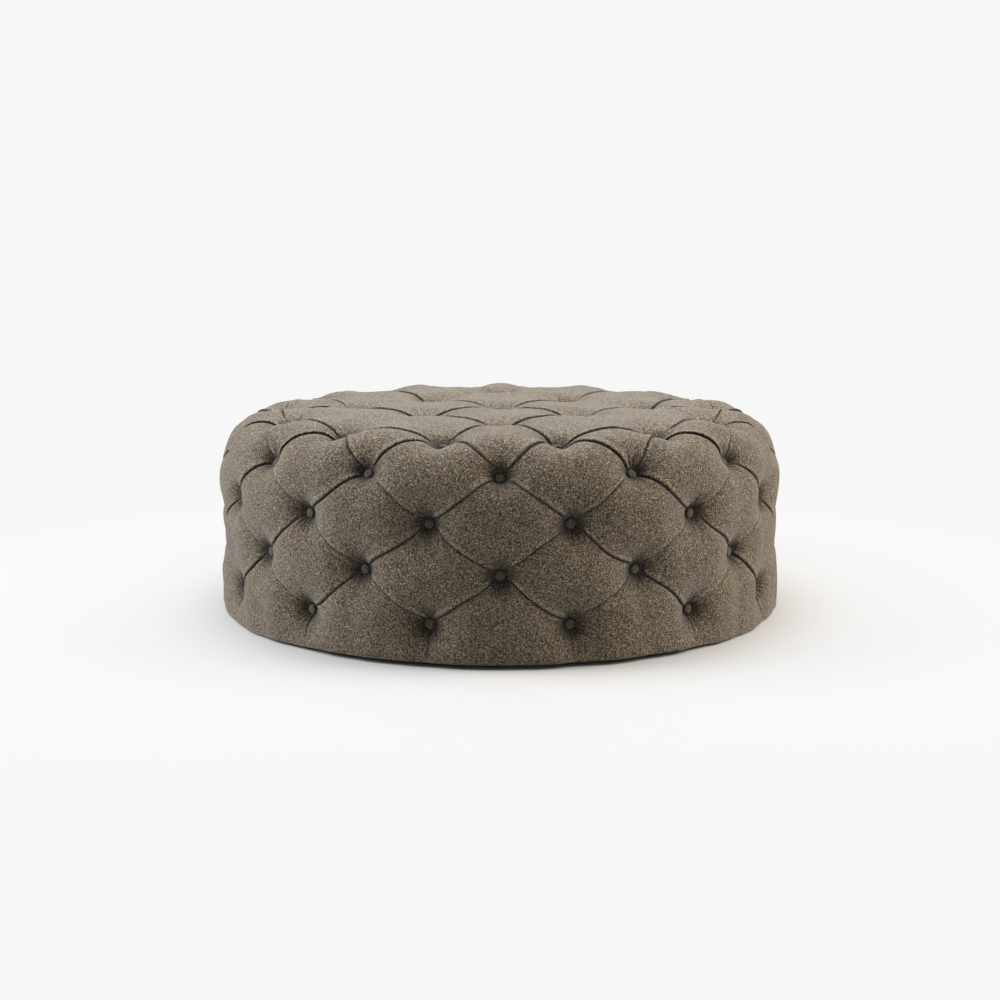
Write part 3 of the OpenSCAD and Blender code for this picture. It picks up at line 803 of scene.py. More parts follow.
@dataclass
class Cloth:
    """Shapes puffs of cloth over the pouf and sews them into one mesh.

    Within the pin reach of a button the cloth can't waver, and beyond the bow reach a crease bows fully.
    Within the seat reach the button's seat and its gathers are worked out.
    """

    tufting: Tufting
    handwork: Handwork = field(default_factory=Handwork)
    step: float = 1e-4
    pin_reach: float = 0.03
    bow_reach: float = 0.075
    seat_reach: float = 0.06
    upright: float = 0.9
    seam: float = 1.5e-4

    def __post_init__(self) -> None:
        """Finds where the buttons pin the cloth, and their axes."""
        self.pins = np.array([place for row in self.tufting.button_rows().values() for place in row])
        self.pin_points, self.pin_axes = self.tufting.envelope.lay(self.pins)
        self.on_rim = np.isclose(np.linalg.norm(self.pins, axis=1), self.tufting.rim_row)
        self.throats = np.where(self.on_rim, self.tufting.puffing.rim_throat, 1.0)

    def freed(self, flat: np.ndarray) -> np.ndarray:
        """Lets flat places waver and bow, but not at a button or at the hem.

        Args:
            flat: flat places, one a row.

        Returns:
            The moved places.
        """
        near = np.min(np.linalg.norm(flat[:, None, :] - self.pins[None], axis=2), axis=1)
        to_hem = self.tufting.envelope.hem_reach - reach_of(flat)
        clear = np.clip(near / self.pin_reach, 0.0, 1.0) ** 2 * np.clip(to_hem / self.pin_reach, 0.0, 1.0)
        return self.handwork.wavered(flat, clear, np.clip(near / self.bow_reach, 0.0, 1.0))

    def notches(self, offsets: np.ndarray) -> np.ndarray:
        """The channels in front of the rim buttons.

        Args:
            offsets: for each point its offset from the pinned point of every button.

        Returns:
            Depth of the channels at each point.
        """
        ways = unit(self.pins[self.on_rim])
        flat = offsets[:, self.on_rim, :2]
        outward = np.sum(flat * ways[None], axis=2)
        sideways = flat[:, :, 0] * ways[None, :, 1] - flat[:, :, 1] * ways[None, :, 0]
        return np.max(self.tufting.puffing.notched(outward, sideways), axis=1)

    def slope(self, puff: Puff, u: np.ndarray, v: np.ndarray, way: tuple[int, int]) -> np.ndarray:
        """How points move in space along a puff's grid.

        Args:
            puff: the puff.
            u: share of its first direction at each point.
            v: share of its second direction at each point.
            way: (1, 0) for the first direction, (0, 1) for the second.

        Returns:
            The movement for each point, for a whole share.
        """
        ahead, behind = (
            self.tufting.envelope.lay(puff.place(u + step * way[0], v + step * way[1]))[0]
            for step in (self.step, -self.step)
        )
        return (ahead - behind) / (2 * self.step)

    def beside(self, index: int, offset: np.ndarray) -> tuple[np.ndarray, np.ndarray]:
        """Where points lie beside a button's axis.

        Args:
            index: the button's number.
            offset: offset of each point from where it pins the cloth.

        Returns:
            Distance from the axis, and for the gathers two distances across the axis and how strong
            they are.
        """
        axis = self.pin_axes[index]
        offset = offset - (offset @ axis)[:, None] * axis
        distance = np.linalg.norm(offset, axis=1)
        side = np.cross((0.0, 0.0, 1.0) if abs(axis[2]) < self.upright else (0.0, 1.0, 0.0), axis)
        strong = self.handwork.gathered(distance)
        return distance, np.column_stack((offset @ side, offset @ np.cross(axis, side), strong))

    def shaped(self, puff: Puff, u: np.ndarray, v: np.ndarray) -> tuple[np.ndarray, np.ndarray, np.ndarray]:
        """Works out the cloth of one puff.

        Args:
            puff: the puff.
            u: share of its first direction at each point.
            v: share of its second direction at each point.

        Returns:
            Points in space, the painted shade of the fold or button throat that each one lies in (below
            zero for a painted highlight on a lip), and where it lies beside its button: two distances
            across the button's axis, and how strongly the cloth is gathered there.
        """
        work, tufting, puffing = self.handwork, self.tufting, self.tufting.puffing
        flat = self.freed(puff.place(u, v))
        points, normals = tufting.envelope.lay(flat)
        creases = puff.creases(u, v, self.slope(puff, u, v, (1, 0)), self.slope(puff, u, v, (0, 1)))
        open_cloth, pleats, dark = np.ones_like(u), np.zeros_like(u), np.zeros_like(u)
        shift = np.zeros_like(points)
        for crease in creases:
            share = np.prod([crease.clear_of(c) for c in creases if c is not crease], axis=0)
            open_cloth *= 1 - share * puffing.valley(crease)
            height, over, shade = work.folded(crease)
            pleats += share * height
            shift += crease.towards * (share * over)[:, None]
            # Painted shade of the fold, and a painted highlight on its lip below zero.
            dark = stronger(dark, share * shade)
        offsets = points[:, None, :] - self.pin_points[None]
        away = np.linalg.norm(offsets, axis=2)
        crown = np.prod(1 - puffing.dimple(away / self.throats), axis=1)
        reach, middle = reach_of(flat), tufting.shoulder_middle
        full = puffing.tuft_depth + puffing.shoulder_fill * puffing.near_shoulder(reach, middle)
        full -= puffing.pleat_depth * puffing.eased_pleats(reach, middle) * (1 - open_cloth)
        full += puffing.filled_at_back(flat, tufting.shoulder_row) + work.swelled(flat) * open_cloth
        height = crown * full + pleats - self.notches(offsets)
        gathers = np.zeros_like(points)
        for index in np.flatnonzero(away.min(axis=0) < self.seat_reach):
            distance, gather = self.beside(index, offsets[:, index, :])
            gathers = np.where((gather[:, 2] > gathers[:, 2])[:, None], gather, gathers)
            height = smooth_least(height, work.seat(distance), work.wall_round)
            # Painted shade under the button and in its throat.
            dark = stronger(dark, work.pinned(distance))
        return points - (puffing.tuft_depth - height)[:, None] * normals + shift, dark, gathers

    def sew(self, puffs: list[Puff]) -> bmesh.types.BMesh:
        """Lays every puff as a grid and joins them along their creases.

        Args:
            puffs: the puffs of one cover.

        Returns:
            The open sheet of cloth, with the painted shade and painted highlight of its creases and buttons
            marked in the layer named crease, and its gathers in the layer of that name.
        """
        mesh = bmesh.new()
        # The crease layer carries painted shade, and below zero a painted highlight.
        painted_shading_layer = mesh.verts.layers.float.new("crease")
        pulls = mesh.verts.layers.float_vector.new("gather")
        for puff in puffs:
            columns, rows = puff.segments
            verts = bmesh.ops.create_grid(mesh, x_segments=columns, y_segments=rows, size=1.0)["verts"]
            u, v = puff.spaced((np.array([vert.co[:2] for vert in verts]) + 1) / 2)
            for vert, point, painted_shading, pull in zip(verts, *self.shaped(puff, u, v)):
                vert.co = point
                vert[painted_shading_layer] = painted_shading
                vert[pulls] = pull
        bmesh.ops.remove_doubles(mesh, verts=mesh.verts, dist=self.seam)
        return mesh


class Recipe:
    """A node material while it is put together."""

    def __init__(self, name: str) -> None:
        """Starts a material that has only its shader.

        Args:
            name: the material's name.
        """
        self.material = bpy.data.materials.new(name)
        self.material.use_nodes = True
        self.tree = self.material.node_tree
        self.shader = self.tree.nodes["Principled BSDF"]
        self.coordinates = self.node("ShaderNodeTexCoord").outputs["Object"]

    def node(self, kind: str, inputs: dict | None = None, **settings: object) -> bpy.types.Node:
        """Adds a node.

        Args:
            kind: Blender's name of the node.
            inputs: values or links for its sockets.
            settings: the node's own settings.

        Returns:
            The new node.
        """
        made = self.tree.nodes.new(kind)
        for name, value in settings.items():
            setattr(made, name, value)
        for name, value in (inputs or {}).items():
            self.feed(made.inputs[name], value)
        return made

    def feed(self, socket: bpy.types.NodeSocket, value: object) -> None:
        """Links a socket to another, or sets its value.

        Args:
            socket: the socket.
            value: the other socket, or the value.
        """
        if isinstance(value, bpy.types.NodeSocket):
            self.tree.links.new(value, socket)
        else:
            socket.default_value = value

    def attribute(self, name: str, output: str) -> bpy.types.NodeSocket:
        """An attribute of the mesh."""
        return self.node("ShaderNodeAttribute", attribute_name=name).outputs[output]

    def parts(self, vector: bpy.types.NodeSocket) -> bpy.types.bpy_prop_collection:
        """The X, Y and Z of a vector."""
        return self.node("ShaderNodeSeparateXYZ", {"Vector": vector}).outputs

    def noise(self, scale: float, detail: float = 3.0, roughness: float = 0.6,
              stretch: tuple[float, float, float] = (1.0, 1.0, 1.0)) -> bpy.types.NodeSocket:
        """A cloudy pattern in object coordinates.

        Args:
            scale: how many clouds there are to a metre.
            detail: how many finer patterns it has.
            roughness: how strong those are.
            stretch: how much closer the clouds lie along each axis.

        Returns:
            The pattern, from zero to one.
        """
        mapped = self.node("ShaderNodeMapping", {"Vector": self.coordinates, "Scale": stretch})
        return self.node("ShaderNodeTexNoise", {
            "Vector": mapped.outputs["Vector"], "Scale": scale, "Detail": detail, "Roughness": roughness,
        }).outputs["Fac"]

    def cells(self, scale: float, bend: float,
              coarseness: float = 0.6) -> tuple[bpy.types.NodeSocket, bpy.types.NodeSocket]:
        """Small cells in object coordinates.

        Args:
            scale: how many cells there are to a metre.
            bend: how far a cloudy pattern bends them out of round.
            coarseness: how many clouds that pattern has to a cell.

        Returns:
            The distance from each cell's middle, and a value of its own.
        """
        cloud = self.node("ShaderNodeTexNoise", {
            "Vector": self.coordinates, "Scale": scale * coarseness, "Detail": 1.0})
        shift = self.node("ShaderNodeVectorMath", {0: cloud.outputs["Color"], 1: grey(0.5)},
                          operation="SUBTRACT").outputs["Vector"]
        bent = self.node("ShaderNodeVectorMath", {0: shift, 1: grey(bend), 2: self.coordinates},
                         operation="MULTIPLY_ADD").outputs["Vector"]
        made = self.node("ShaderNodeTexVoronoi", {"Vector": bent, "Scale": scale})
        own = self.node("ShaderNodeSeparateColor", {"Color": made.outputs["Color"]})
        return made.outputs["Distance"], own.outputs["Red"]

    def math(self, operation: str, a: object, b: object = 0.0) -> bpy.types.NodeSocket:
        """Arithmetic on two values.

        Args:
            operation: Blender's name of the operation.
            a: the first value or socket.
            b: the second one.

        Returns:
            The result.
        """
        return self.node("ShaderNodeMath", {0: a, 1: b}, operation=operation).outputs[0]

    def plus(self, a: object, b: object) -> bpy.types.NodeSocket:
        """The sum of two values."""
        return self.math("ADD", a, b)

    def times(self, a: object, b: object) -> bpy.types.NodeSocket:
        """The product of two values."""
        return self.math("MULTIPLY", a, b)

    def ramp(self, value: bpy.types.NodeSocket, stops: list[tuple[float, Colour]]) -> bpy.types.NodeSocket:
        """Colours for a value.

        Args:
            value: the value.
            stops: the values at which a colour stands, and the colours.

        Returns:
            The colour.
        """
        made = self.node("ShaderNodeValToRGB", {"Fac": value})
        elements = made.color_ramp.elements
        while len(elements) < len(stops):
            elements.new(0.5)
        for element, (position, colour) in zip(elements, stops):
            element.position = position
            element.color = (*colour, 1.0)
        return made.outputs["Color"]

    def fade(self, value: bpy.types.NodeSocket, ends: tuple[float, float],
             shown: tuple[float, float]) -> bpy.types.NodeSocket:
        """Turns a value between two ends into a factor between two others."""
        return self.ramp(value, [(end, grey(factor)) for end, factor in zip(ends, shown)])

    def tinted(self, a: object, b: object, factor: object = 1.0) -> bpy.types.NodeSocket:
        """One colour times another.

        Args:
            a: the first colour.
            b: the second colour.
            factor: how much of the second is used.

        Returns:
            The product.
        """
        made = self.node("ShaderNodeMix", data_type="RGBA", blend_type="MULTIPLY")
        for index, value in ((0, factor), (6, a), (7, b)):
            self.feed(made.inputs[index], value)
        return made.outputs[2]

    def bump(self, height: bpy.types.NodeSocket, distance: float, strength: float = 1.0) -> None:
        """Presses a height pattern into the surface."""
        made = self.node("ShaderNodeBump", {"Height": height, "Distance": distance, "Strength": strength})
        self.feed(self.shader.inputs["Normal"], made.outputs["Normal"])

    def finish(self, colour: bpy.types.NodeSocket, **sockets: object) -> bpy.types.Material:
        """Sets the colour and the shader's plain sockets, named with underscores for spaces.

        Args:
            colour: the surface's colour.
            sockets: other sockets of the shader and their values.

        Returns:
            The finished material.
        """
        self.feed(self.shader.inputs["Base Color"], colour)
        for name, value in sockets.items():
            self.feed(self.shader.inputs[name.replace("_", " ").title().replace("Ior", "IOR")], value)
        return self.material


@dataclass(frozen=True)
class Boucle:
    """Looped woollen cloth: taupe, with light flecks, dark pits and a soft sheen.

    Loops, grains, tufts, patches and tones are counted to a metre, and gathers round a button. Fold, deep
    fold shade, lip, cool, warm and the tones of tufts are factors of the cloth's colour: the folds are
    painted shade in the creases and round the buttons, and the lip is a painted highlight beside a crease.
    The tufts show on the top, and fade in between two heights over the floor.
    """

    name: str
    pit: Colour = (0.056, 0.044, 0.030)
    colour: Colour = (0.220, 0.177, 0.125)
    fleck: Colour = (0.92, 0.78, 0.59)
    # Painted shade in the folds and round the buttons, and the painted highlight on the lips.
    fold: Colour = (0.22, 0.215, 0.21)
    deep_fold_shade: Colour = (0.03, 0.03, 0.03)
    lip: float = 1.45
    tones: float = 11.0
    cool: Colour = (0.96, 0.96, 0.97)
    warm: Colour = (1.04, 1.03, 1.02)
    loops: float = 390.0
    loop_bend: float = 0.0035
    loop_size: float = 0.60
    least_loop: float = 0.30
    loop_share: float = 0.66
    grains: float = 741.0
    grain_share: float = 0.50
    tufts: float = 190.0
    tuft_tones: tuple[float, float] = (0.45, 1.5)
    tuft_heights: tuple[float, float] = (0.30, 0.37)
    tuft_share: float = 0.85
    gathers: float = 17.0
    gather_bends: float = 3.0
    gather_bend: float = 1.4
    gather_share: float = 0.60
    patches: float = 26.0
    least_patch: float = 0.10
    bump: float = 0.0018
    sheen: float = 0.30

    def gathered(self, r: Recipe) -> bpy.types.NodeSocket:
        """Fine folds that run out from each button, in patches.

        Args:
            r: the material while it is put together.

        Returns:
            Height of the folds.
        """
        place = r.attribute("gather", "Vector")
        across = r.parts(place)
        angle = r.math("ARCTAN2", across["Y"], across["X"])
        bent = r.times(r.math("SINE", r.times(angle, self.gather_bends)), self.gather_bend)
        wave = r.math("SINE", r.plus(r.times(angle, self.gathers), bent))
        patches = r.fade(r.noise(self.patches, detail=1.0), (0.40, 0.60), (self.least_patch, 1.0))
        return r.times(r.times(across["Z"], patches), wave)

    def looped(self, r: Recipe, grain: bpy.types.NodeSocket) -> bpy.types.NodeSocket:
        """The loops of the cloth, each with a height of its own, and the grain of their yarn.

        Args:
            r: the material while it is put together.
            grain: the grain of the yarn.

        Returns:
            Height of the pile.
        """
        away, own = r.cells(self.loops, self.loop_bend)
        loop = r.math("SUBTRACT", 1.0, r.math("DIVIDE", away, self.loop_size))
        loop = r.times(loop, r.plus(self.least_loop, r.times(own, 1 - self.least_loop)))
        return r.plus(r.times(loop, self.loop_share), r.times(grain, self.grain_share))

    def toned(self, r: Recipe) -> bpy.types.NodeSocket:
        """Slow changes of tone, and the stronger mottle that flat light shows on the top.

        Args:
            r: the material while it is put together.

        Returns:
            A colour to multiply by.
        """
        tone = r.noise(self.tones, detail=2.0, roughness=0.5)
        shade = r.ramp(tone, [(0.35, self.cool), (0.65, self.warm)])
        height = r.parts(r.coordinates)["Z"]
        on_top = r.times(r.fade(height, self.tuft_heights, (0.0, 1.0)), self.tuft_share)
        tufts = r.fade(r.noise(self.tufts, detail=2.0, roughness=0.7), (0.36, 0.64), self.tuft_tones)
        return r.tinted(shade, tufts, on_top)

    def material(self) -> bpy.types.Material:
        """Builds the material.

        Returns:
            The cloth, with painted shade in its creases and round its buttons, and a painted highlight on
            the lips beside the creases.
        """
        r = Recipe(self.name)
        grain = r.noise(self.grains, detail=2.0, roughness=0.7)
        pile = self.looped(r, grain)
        r.bump(r.plus(pile, r.times(self.gathered(r), self.gather_share)), self.bump, strength=0.9)
        tones = [(0.20, self.pit), (0.40, self.colour), (0.52, self.colour), (0.84, self.fleck)]
        # Painted shade from the crease layer, darkest in deep folds, and a painted highlight on the lips
        # where the layer is below zero.
        crease = r.times(r.attribute("crease", "Fac"), r.plus(0.5, grain))
        dark = r.ramp(crease, [(0.0, grey(1.0)), (0.5, self.fold), (0.9, self.deep_fold_shade)])
        lip = r.fade(r.times(crease, -1.0), (0.0, 1.0), (1.0, self.lip))
        colour = r.tinted(r.tinted(r.tinted(r.ramp(pile, tones), self.toned(r)), dark), lip)
        return r.finish(colour, roughness=0.92, specular_ior_level=0.15, sheen_weight=self.sheen,
                        sheen_roughness=0.45, sheen_tint=(0.90, 0.93, 0.95, 1.0))


@dataclass(frozen=True)
class Lumber:
    """Wood with grain along one axis."""

    name: str
    pale: Colour
    dark: Colour
    grains: float = 14.0
    stretch: tuple[float, float, float] = (1.0, 12.0, 12.0)

    def material(self) -> bpy.types.Material:
        """Builds the material.

        Returns:
            The wood.
        """
        r = Recipe(self.name)
        grain = r.noise(self.grains, detail=6.0, roughness=0.7, stretch=self.stretch)
        r.bump(grain, distance=0.0004, strength=0.5)
        return r.finish(r.ramp(grain, [(0.35, self.dark), (0.6, self.pale)]), roughness=0.62)


@dataclass(frozen=True)
class Grained:
    """A surface with one colour, cloudy variation and a fine bump, such as foam, lining or plastic."""

    name: str
    colour: Colour
    scale: float
    variation: float
    height: float
    roughness: float
    metallic: float = 0.0

    def material(self) -> bpy.types.Material:
        """Builds the material.

        Returns:
            The surface's finish.
        """
        r = Recipe(self.name)
        grain = r.noise(self.scale)
        low, high = (
            tuple(min(1.0, part * (1 + change)) for part in self.colour)
            for change in (-self.variation, self.variation)
        )
        r.bump(grain, self.height, strength=0.6)
        colour = r.ramp(grain, [(0.35, low), (0.65, high)])
        return r.finish(colour, roughness=self.roughness, metallic=self.metallic)


@dataclass
class Piece:
    """Turns a finished bmesh into a piece that stands for nodes of the frame."""

    name: str
    slot: str
    replaces: tuple[str, ...]

    def put(self, mesh: bmesh.types.BMesh, material: bpy.types.Material) -> bpy.types.Object:
        """Adds the piece to the scene.

        Args:
            mesh: the finished bmesh, which is freed.
            material: its finish.

        Returns:
            The new object, riding on the pouf's body.
        """
        bmesh.ops.recalc_face_normals(mesh, faces=mesh.faces)
        for face in mesh.faces:
            face.smooth = True
        data = bpy.data.meshes.new(self.name)
        mesh.to_mesh(data)
        mesh.free()
        data.materials.append(material)
        made = bpy.data.objects.new(self.name, data)
        bpy.context.scene.collection.objects.link(made)
        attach(made, BODY)
        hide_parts(*self.replaces)
        LOG.info("%s: %d faces", self.name, len(data.polygons))
        return made


@dataclass
class Covers:
    """The top cover and the side cover, with the filling of their puffs."""

    tufting: Tufting
    inner_radius: float = 0.511
    bevel_width: float = 0.076
    bevel_height: float = 0.050
    web: float = 0.004
    hem_round: float = 0.003
    hem_segments: int = 3
    hem_height: float = 0.03
    hem_drop: float = 0.003
    hem_drop_height: float = 0.040
    hem_drop_power: float = 1.5
    hem_side_drop: float = 0.006
    hem_side_start: float = 0.45
    hem_side_run: float = 0.4

    @property
    def inner_z(self) -> float:
        """Height of the flat inner face, just under the buttons of the top."""
        return self.tufting.envelope.top_z - self.tufting.puffing.tuft_depth - self.web

    def border(self, mesh: bmesh.types.BMesh, low: bool) -> list[bmesh.types.BMEdge]:
        """Open edges of a sheet, either those of its hem or those of its seam."""
        limit = self.tufting.envelope.hem_z + self.hem_height
        return [e for e in mesh.edges if e.is_boundary and (e.verts[0].co.z < limit) == low]

    def let_down(self, mesh: bmesh.types.BMesh) -> None:
        """Lets the hem down towards the floor, and lowest at the pouf's left and right.

        Args:
            mesh: the sheet of the side cover.
        """
        for vert in mesh.verts:
            low = 1 - (vert.co.z - self.tufting.envelope.hem_z) / self.hem_drop_height
            if low > 0:
                sideways = abs(vert.co.x) / math.hypot(vert.co.x, vert.co.y)
                side = eased((sideways - self.hem_side_start) / self.hem_side_run)
                vert.co.z -= low**self.hem_drop_power * (self.hem_drop + self.hem_side_drop * side)

    def drawn(self, mesh: bmesh.types.BMesh, edges: list, radius: float | None, z: float) -> list:
        """Draws a border out to a new ring.

        Args:
            mesh: the mesh.
            edges: the border's edges.
            radius: radius of the new ring, or None to keep each point's own.
            z: height of the new ring.

        Returns:
            The edges of the new ring.
        """
        made = bmesh.ops.extrude_edge_only(mesh, edges=edges)["geom"]
        for vert in (g for g in made if isinstance(g, bmesh.types.BMVert)):
            flat = Vector((vert.co.x, vert.co.y, 0.0))
            if radius is not None:
                flat *= radius / flat.length
            vert.co = flat + Vector((0.0, 0.0, z))
        return [g for g in made if isinstance(g, bmesh.types.BMEdge) and all(v in made for v in g.verts)]

    def build_top(self, cloth: Cloth, material: bpy.types.Material) -> bpy.types.Object:
        """Builds the top cover, closed by a flat inner face.

        Args:
            cloth: what shapes its puffs.
            material: its finish.

        Returns:
            The new piece.
        """
        mesh = cloth.sew(self.tufting.top_puffs())
        ring = self.drawn(mesh, self.border(mesh, low=False), None, self.inner_z)
        bmesh.ops.contextual_create(mesh, geom=ring)
        return Piece("top_cover_cloth", "cover_cloth", ("top_cover",)).put(mesh, material)

    def build_side(self, cloth: Cloth, material: bpy.types.Material) -> bpy.types.Object:
        """Builds the side cover, whose cloth turns in at the hem and is closed by its inner faces.

        Args:
            cloth: what shapes its puffs.
            material: its finish.

        Returns:
            The new piece.
        """
        mesh = cloth.sew(self.tufting.side_puffs())
        self.let_down(mesh)
        hem = ring = self.border(mesh, low=True)
        for radius, z in (
            (self.inner_radius, self.tufting.envelope.hem_z),
            (self.inner_radius, self.inner_z - self.bevel_height),
            (self.inner_radius - self.bevel_width, self.inner_z),
        ):
            ring = self.drawn(mesh, ring, radius, z)
        seam = [e for e in self.border(mesh, low=False) if e not in set(ring)]
        seam = self.drawn(mesh, seam, None, self.inner_z)
        bmesh.ops.bridge_loops(mesh, edges=ring + seam)
        bmesh.ops.bevel(mesh, geom=[e for e in hem if e.is_valid], offset=self.hem_round,
                        segments=self.hem_segments, profile=0.5, affect="EDGES", material=-1)
        return Piece("side_cover_cloth", "cover_cloth", ("side_cover",)).put(mesh, material)


@dataclass
class Buttons:
    """The covered buttons of every row."""

    tufting: Tufting
    shape: ButtonShape = field(default_factory=ButtonShape)
    turn: float = 0.7

    def build(self, material: bpy.types.Material) -> None:
        """Builds one piece for each row of buttons.

        Args:
            material: the cloth that covers them.
        """
        for node, places in self.tufting.button_rows().items():
            mesh = bmesh.new()
            centres, axes = self.tufting.envelope.lay(np.array(places), self.tufting.puffing.tuft_depth)
            for index, (centre, axis) in enumerate(zip(centres, axes)):
                normal = Vector((0.0, 0.0, 1.0) if node in ("top_buttons", "rim_buttons") else axis)
                seat = Vector(centre) + self.shape.lift_of(node) * normal
                place = Matrix.Translation(seat) @ normal.to_track_quat("Z", "Y").to_matrix().to_4x4()
                self.shape.build(mesh, place, self.turn * index)
            Piece(f"covered_{node}", "button_cloth", (node,)).put(mesh, material)


@dataclass(frozen=True)
class Inside:
    """Finishes of the nodes that stay as the frame has them."""

    plywood: Lumber = Lumber("plywood", pale=(0.60, 0.44, 0.27), dark=(0.44, 0.29, 0.16))
    softwood: Lumber = Lumber("softwood", pale=(0.66, 0.50, 0.30), dark=(0.50, 0.34, 0.18))
    foam: Grained = Grained("foam", (0.80, 0.74, 0.55), scale=900.0, variation=0.08, height=0.0005,
                            roughness=0.95)
    wadding: Grained = Grained("wadding", (0.82, 0.82, 0.79), scale=240.0, variation=0.06,
                               height=0.0015, roughness=1.0)
    twine: Grained = Grained("twine", (0.45, 0.37, 0.25), scale=2200.0, variation=0.3, height=0.0002,
                             roughness=0.85)
    lining: Grained = Grained("black_lining", (0.012, 0.012, 0.013), scale=1500.0, variation=0.35,
                              height=0.0002, roughness=0.95)
    plastic: Grained = Grained("black_plastic", (0.016, 0.016, 0.017), scale=700.0, variation=0.15,
                               height=0.0001, roughness=0.45)
    steel: Grained = Grained("zinc_steel", (0.62, 0.62, 0.63), scale=400.0, variation=0.08,
                             height=0.00005, roughness=0.35, metallic=1.0)

    def dress(self, nodes: dict[str, bpy.types.Object]) -> None:
        """Gives each node its finish.

        Args:
            nodes: the frame's nodes by name.
        """
        worn = {
            self.plywood: ("base_ring", "deck_panel", "frame_skin"),
            self.softwood: ("uprights", "deck_rails"),
            self.foam: ("side_foam", "top_foam"),
            self.wadding: ("wadding",),
            self.twine: tuple(name for name in nodes if name.endswith("twines")),
            self.lining: ("hem_strip", "dust_cover"),
            self.plastic: ("glides",),
            self.steel: tuple(name for name in nodes if name.endswith("screws")),
        }
        for finish, names in worn.items():
            material = finish.material()
            for name in names:
                nodes[name].data.materials.clear()
                nodes[name].data.materials.append(material)


@dataclass(frozen=True)
class Lamp:
    """A soft rectangular lamp that hangs beside or over the pouf and faces it."""

    name: str
    place: tuple[float, float, float]
    power: float
    size: tuple[float, float] = (1.8, 2.2)
    colour: Colour = (1.0, 1.0, 1.0)
    aim_z: float = 0.2

    def hang(self) -> None:
        """Adds the lamp to the scene."""
        data = bpy.data.lights.new(self.name, "AREA")
        data.shape = "RECTANGLE"
        data.size, data.size_y = self.size
        data.energy, data.color = self.power, self.colour
        lamp = bpy.data.objects.new(self.name, data)
        lamp.location = self.place
        way = Vector((0.0, 0.0, self.aim_z)) - Vector(self.place)
        lamp.rotation_euler = way.to_track_quat("-Z", "Y").to_euler()
        bpy.context.scene.collection.objects.link(lamp)


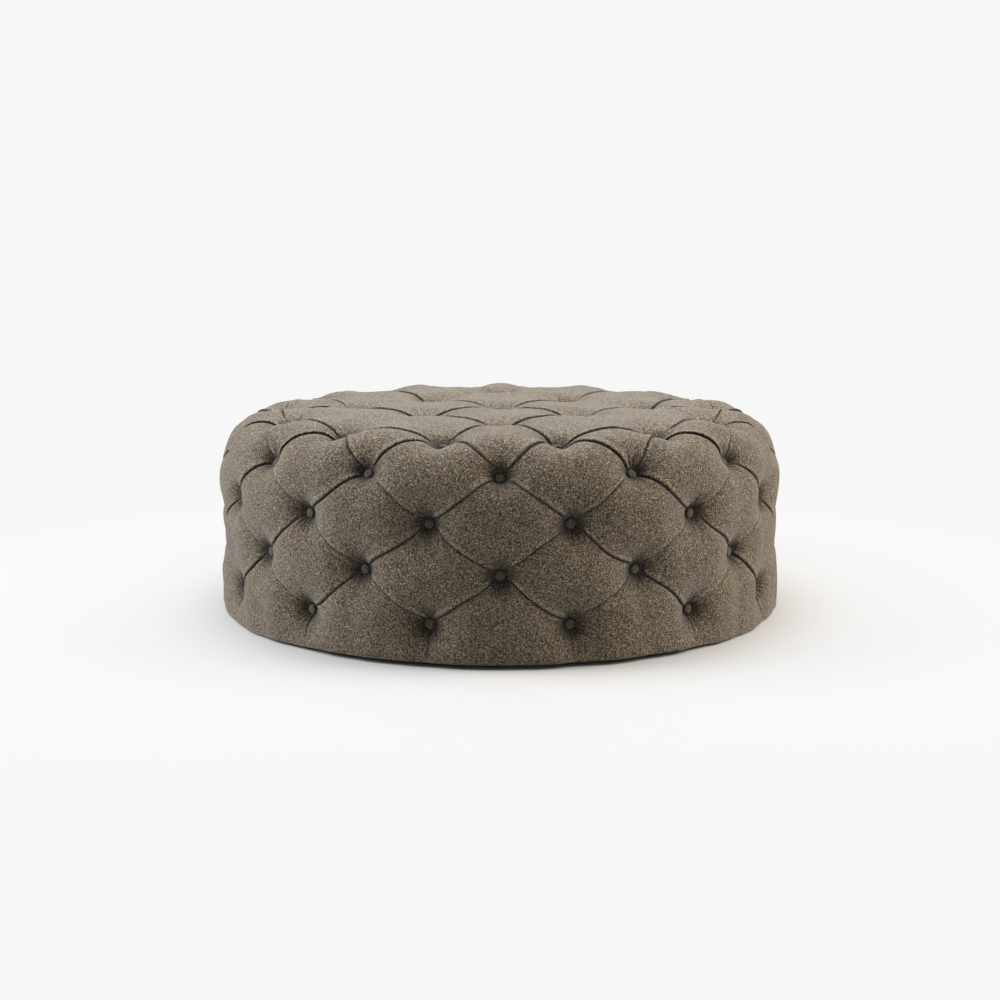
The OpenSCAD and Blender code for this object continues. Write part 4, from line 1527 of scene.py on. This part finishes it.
@dataclass(frozen=True)
class Studio:
    """Floor, lamps, backdrop and camera.

    The floor keeps the pouf's shadow near it and fades into the backdrop. Each of its fades is a distance
    from the middle and the share of the backdrop's tone there. It gives off less light than it shows.
    """

    floor_size: float = 30.0
    floor_dark: Colour = (0.595, 0.600, 0.608)
    floor_pale: Colour = (0.605, 0.610, 0.618)
    fades: tuple[tuple[float, float], ...] = ((0.556, 0.0), (0.620, 0.36), (0.70, 0.66), (1.4, 1.0))
    bounce: float = 0.82
    backdrop: float = 0.93
    world_light: float = 0.29
    lamps: tuple[Lamp, ...] = (
        Lamp("overhead", (0.0, 0.9, 3.2), 84.0, size=(4.0, 3.2), aim_z=0.0),
        Lamp("left", (-3.2, -0.2, 1.95), 150.0),
        Lamp("right", (3.2, -0.2, 1.95), 148.0, colour=(1.0, 0.91, 0.79)),
    )
    camera_at: tuple[float, float, float] = (0.0, -2.7544, 0.6610)
    camera_pitch: float = 0.169
    camera_clip: tuple[float, float] = (0.05, 100.0)
    lens: float = 50.0
    sensor: float = 36.0

    def floor_material(self) -> bpy.types.Material:
        """Builds the floor's material.

        Returns:
            A pale, dull floor that turns into the backdrop's glow further out, for the camera alone.
        """
        r = Recipe("pale_floor")
        seen = r.node("ShaderNodeLightPath").outputs["Is Camera Ray"]
        speckle = r.ramp(r.noise(35.0, detail=2.0), [(0.3, self.floor_dark), (0.7, self.floor_pale)])
        colour = r.tinted(speckle, (*grey(self.bounce), 1.0), r.math("SUBTRACT", 1.0, seen))
        r.finish(colour, roughness=0.95, specular_ior_level=0.0)
        distance = r.node("ShaderNodeVectorMath", {0: r.coordinates}, operation="LENGTH").outputs["Value"]
        whole = self.fades[-1][0]
        stops = [(away / whole, grey(share)) for away, share in self.fades]
        far = r.ramp(r.math("DIVIDE", distance, whole), stops)
        glow = r.node("ShaderNodeEmission", {"Color": (*grey(self.backdrop), 1.0), "Strength": 1.0})
        mix = r.node("ShaderNodeMixShader", {
            0: r.times(far, seen), 1: r.shader.outputs["BSDF"], 2: glow.outputs["Emission"]})
        r.feed(r.tree.nodes["Material Output"].inputs["Surface"], mix.outputs["Shader"])
        return r.material

    def build_floor(self) -> None:
        """Lays the floor."""
        mesh = bmesh.new()
        bmesh.ops.create_grid(mesh, x_segments=8, y_segments=8, size=self.floor_size / 2)
        data = bpy.data.meshes.new("floor")
        mesh.to_mesh(data)
        mesh.free()
        data.materials.append(self.floor_material())
        floor = bpy.data.objects.new("floor", data)
        bpy.context.scene.collection.objects.link(floor)

    def build_world(self) -> None:
        """Lights the scene evenly, and shows the camera the backdrop's own tone."""
        world = bpy.data.worlds.new("studio")
        bpy.context.scene.world = world
        world.use_nodes = True
        tree = world.node_tree
        shine, shown = tree.nodes["Background"], tree.nodes.new("ShaderNodeBackground")
        shine.inputs["Color"].default_value = (1.0, 1.0, 1.0, 1.0)
        shine.inputs["Strength"].default_value = self.world_light
        shown.inputs["Color"].default_value = (*grey(self.backdrop), 1.0)
        path, mix = tree.nodes.new("ShaderNodeLightPath"), tree.nodes.new("ShaderNodeMixShader")
        tree.links.new(path.outputs["Is Camera Ray"], mix.inputs[0])
        tree.links.new(shine.outputs["Background"], mix.inputs[1])
        tree.links.new(shown.outputs["Background"], mix.inputs[2])
        tree.links.new(mix.outputs["Shader"], tree.nodes["World Output"].inputs["Surface"])

    def build_camera(self) -> None:
        """Sets the camera at the photograph's angle."""
        data = bpy.data.cameras.new("camera")
        data.lens, data.sensor_width = self.lens, self.sensor
        data.clip_start, data.clip_end = self.camera_clip
        camera = bpy.data.objects.new("camera", data)
        camera.location = self.camera_at
        camera.rotation_euler = (math.pi / 2 - self.camera_pitch, 0.0, 0.0)
        bpy.context.scene.collection.objects.link(camera)
        bpy.context.scene.camera = camera

    def build(self) -> None:
        """Sets up the whole studio."""
        self.build_floor()
        self.build_world()
        for lamp in self.lamps:
            lamp.hang()
        self.build_camera()
        bpy.context.scene.view_settings.view_transform = "Standard"


def corners(box: tuple[Vector, Vector]) -> list[list[float]]:
    """A box's two corners as plain lists."""
    return [list(corner) for corner in box]


def main() -> None:
    """Builds the pouf's looks round the frame, then the studio."""
    logging.basicConfig(level=logging.INFO, format="%(name)s: %(message)s")
    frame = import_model()
    low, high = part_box("side_cover")
    envelope = Envelope(radius=(high.x - low.x) / 2, hem_z=low.z, top_z=high.z)
    tufting = Tufting(envelope)
    cloth = Cloth(tufting)
    cover = Boucle("taupe_boucle").material()
    # The buttons wear the cover's boucle painted darker, as painted shade for the seats they sit in.
    button = Boucle("button_boucle_painted_shade", colour=(0.118, 0.101, 0.084), fleck=(0.25, 0.215, 0.175)).material()
    covers = Covers(tufting)
    covers.build_top(cloth, cover)
    covers.build_side(cloth, cover)
    Buttons(tufting).build(button)
    Inside().dress(frame["nodes"])
    Studio().build()


if __name__ == "__main__":
    main()
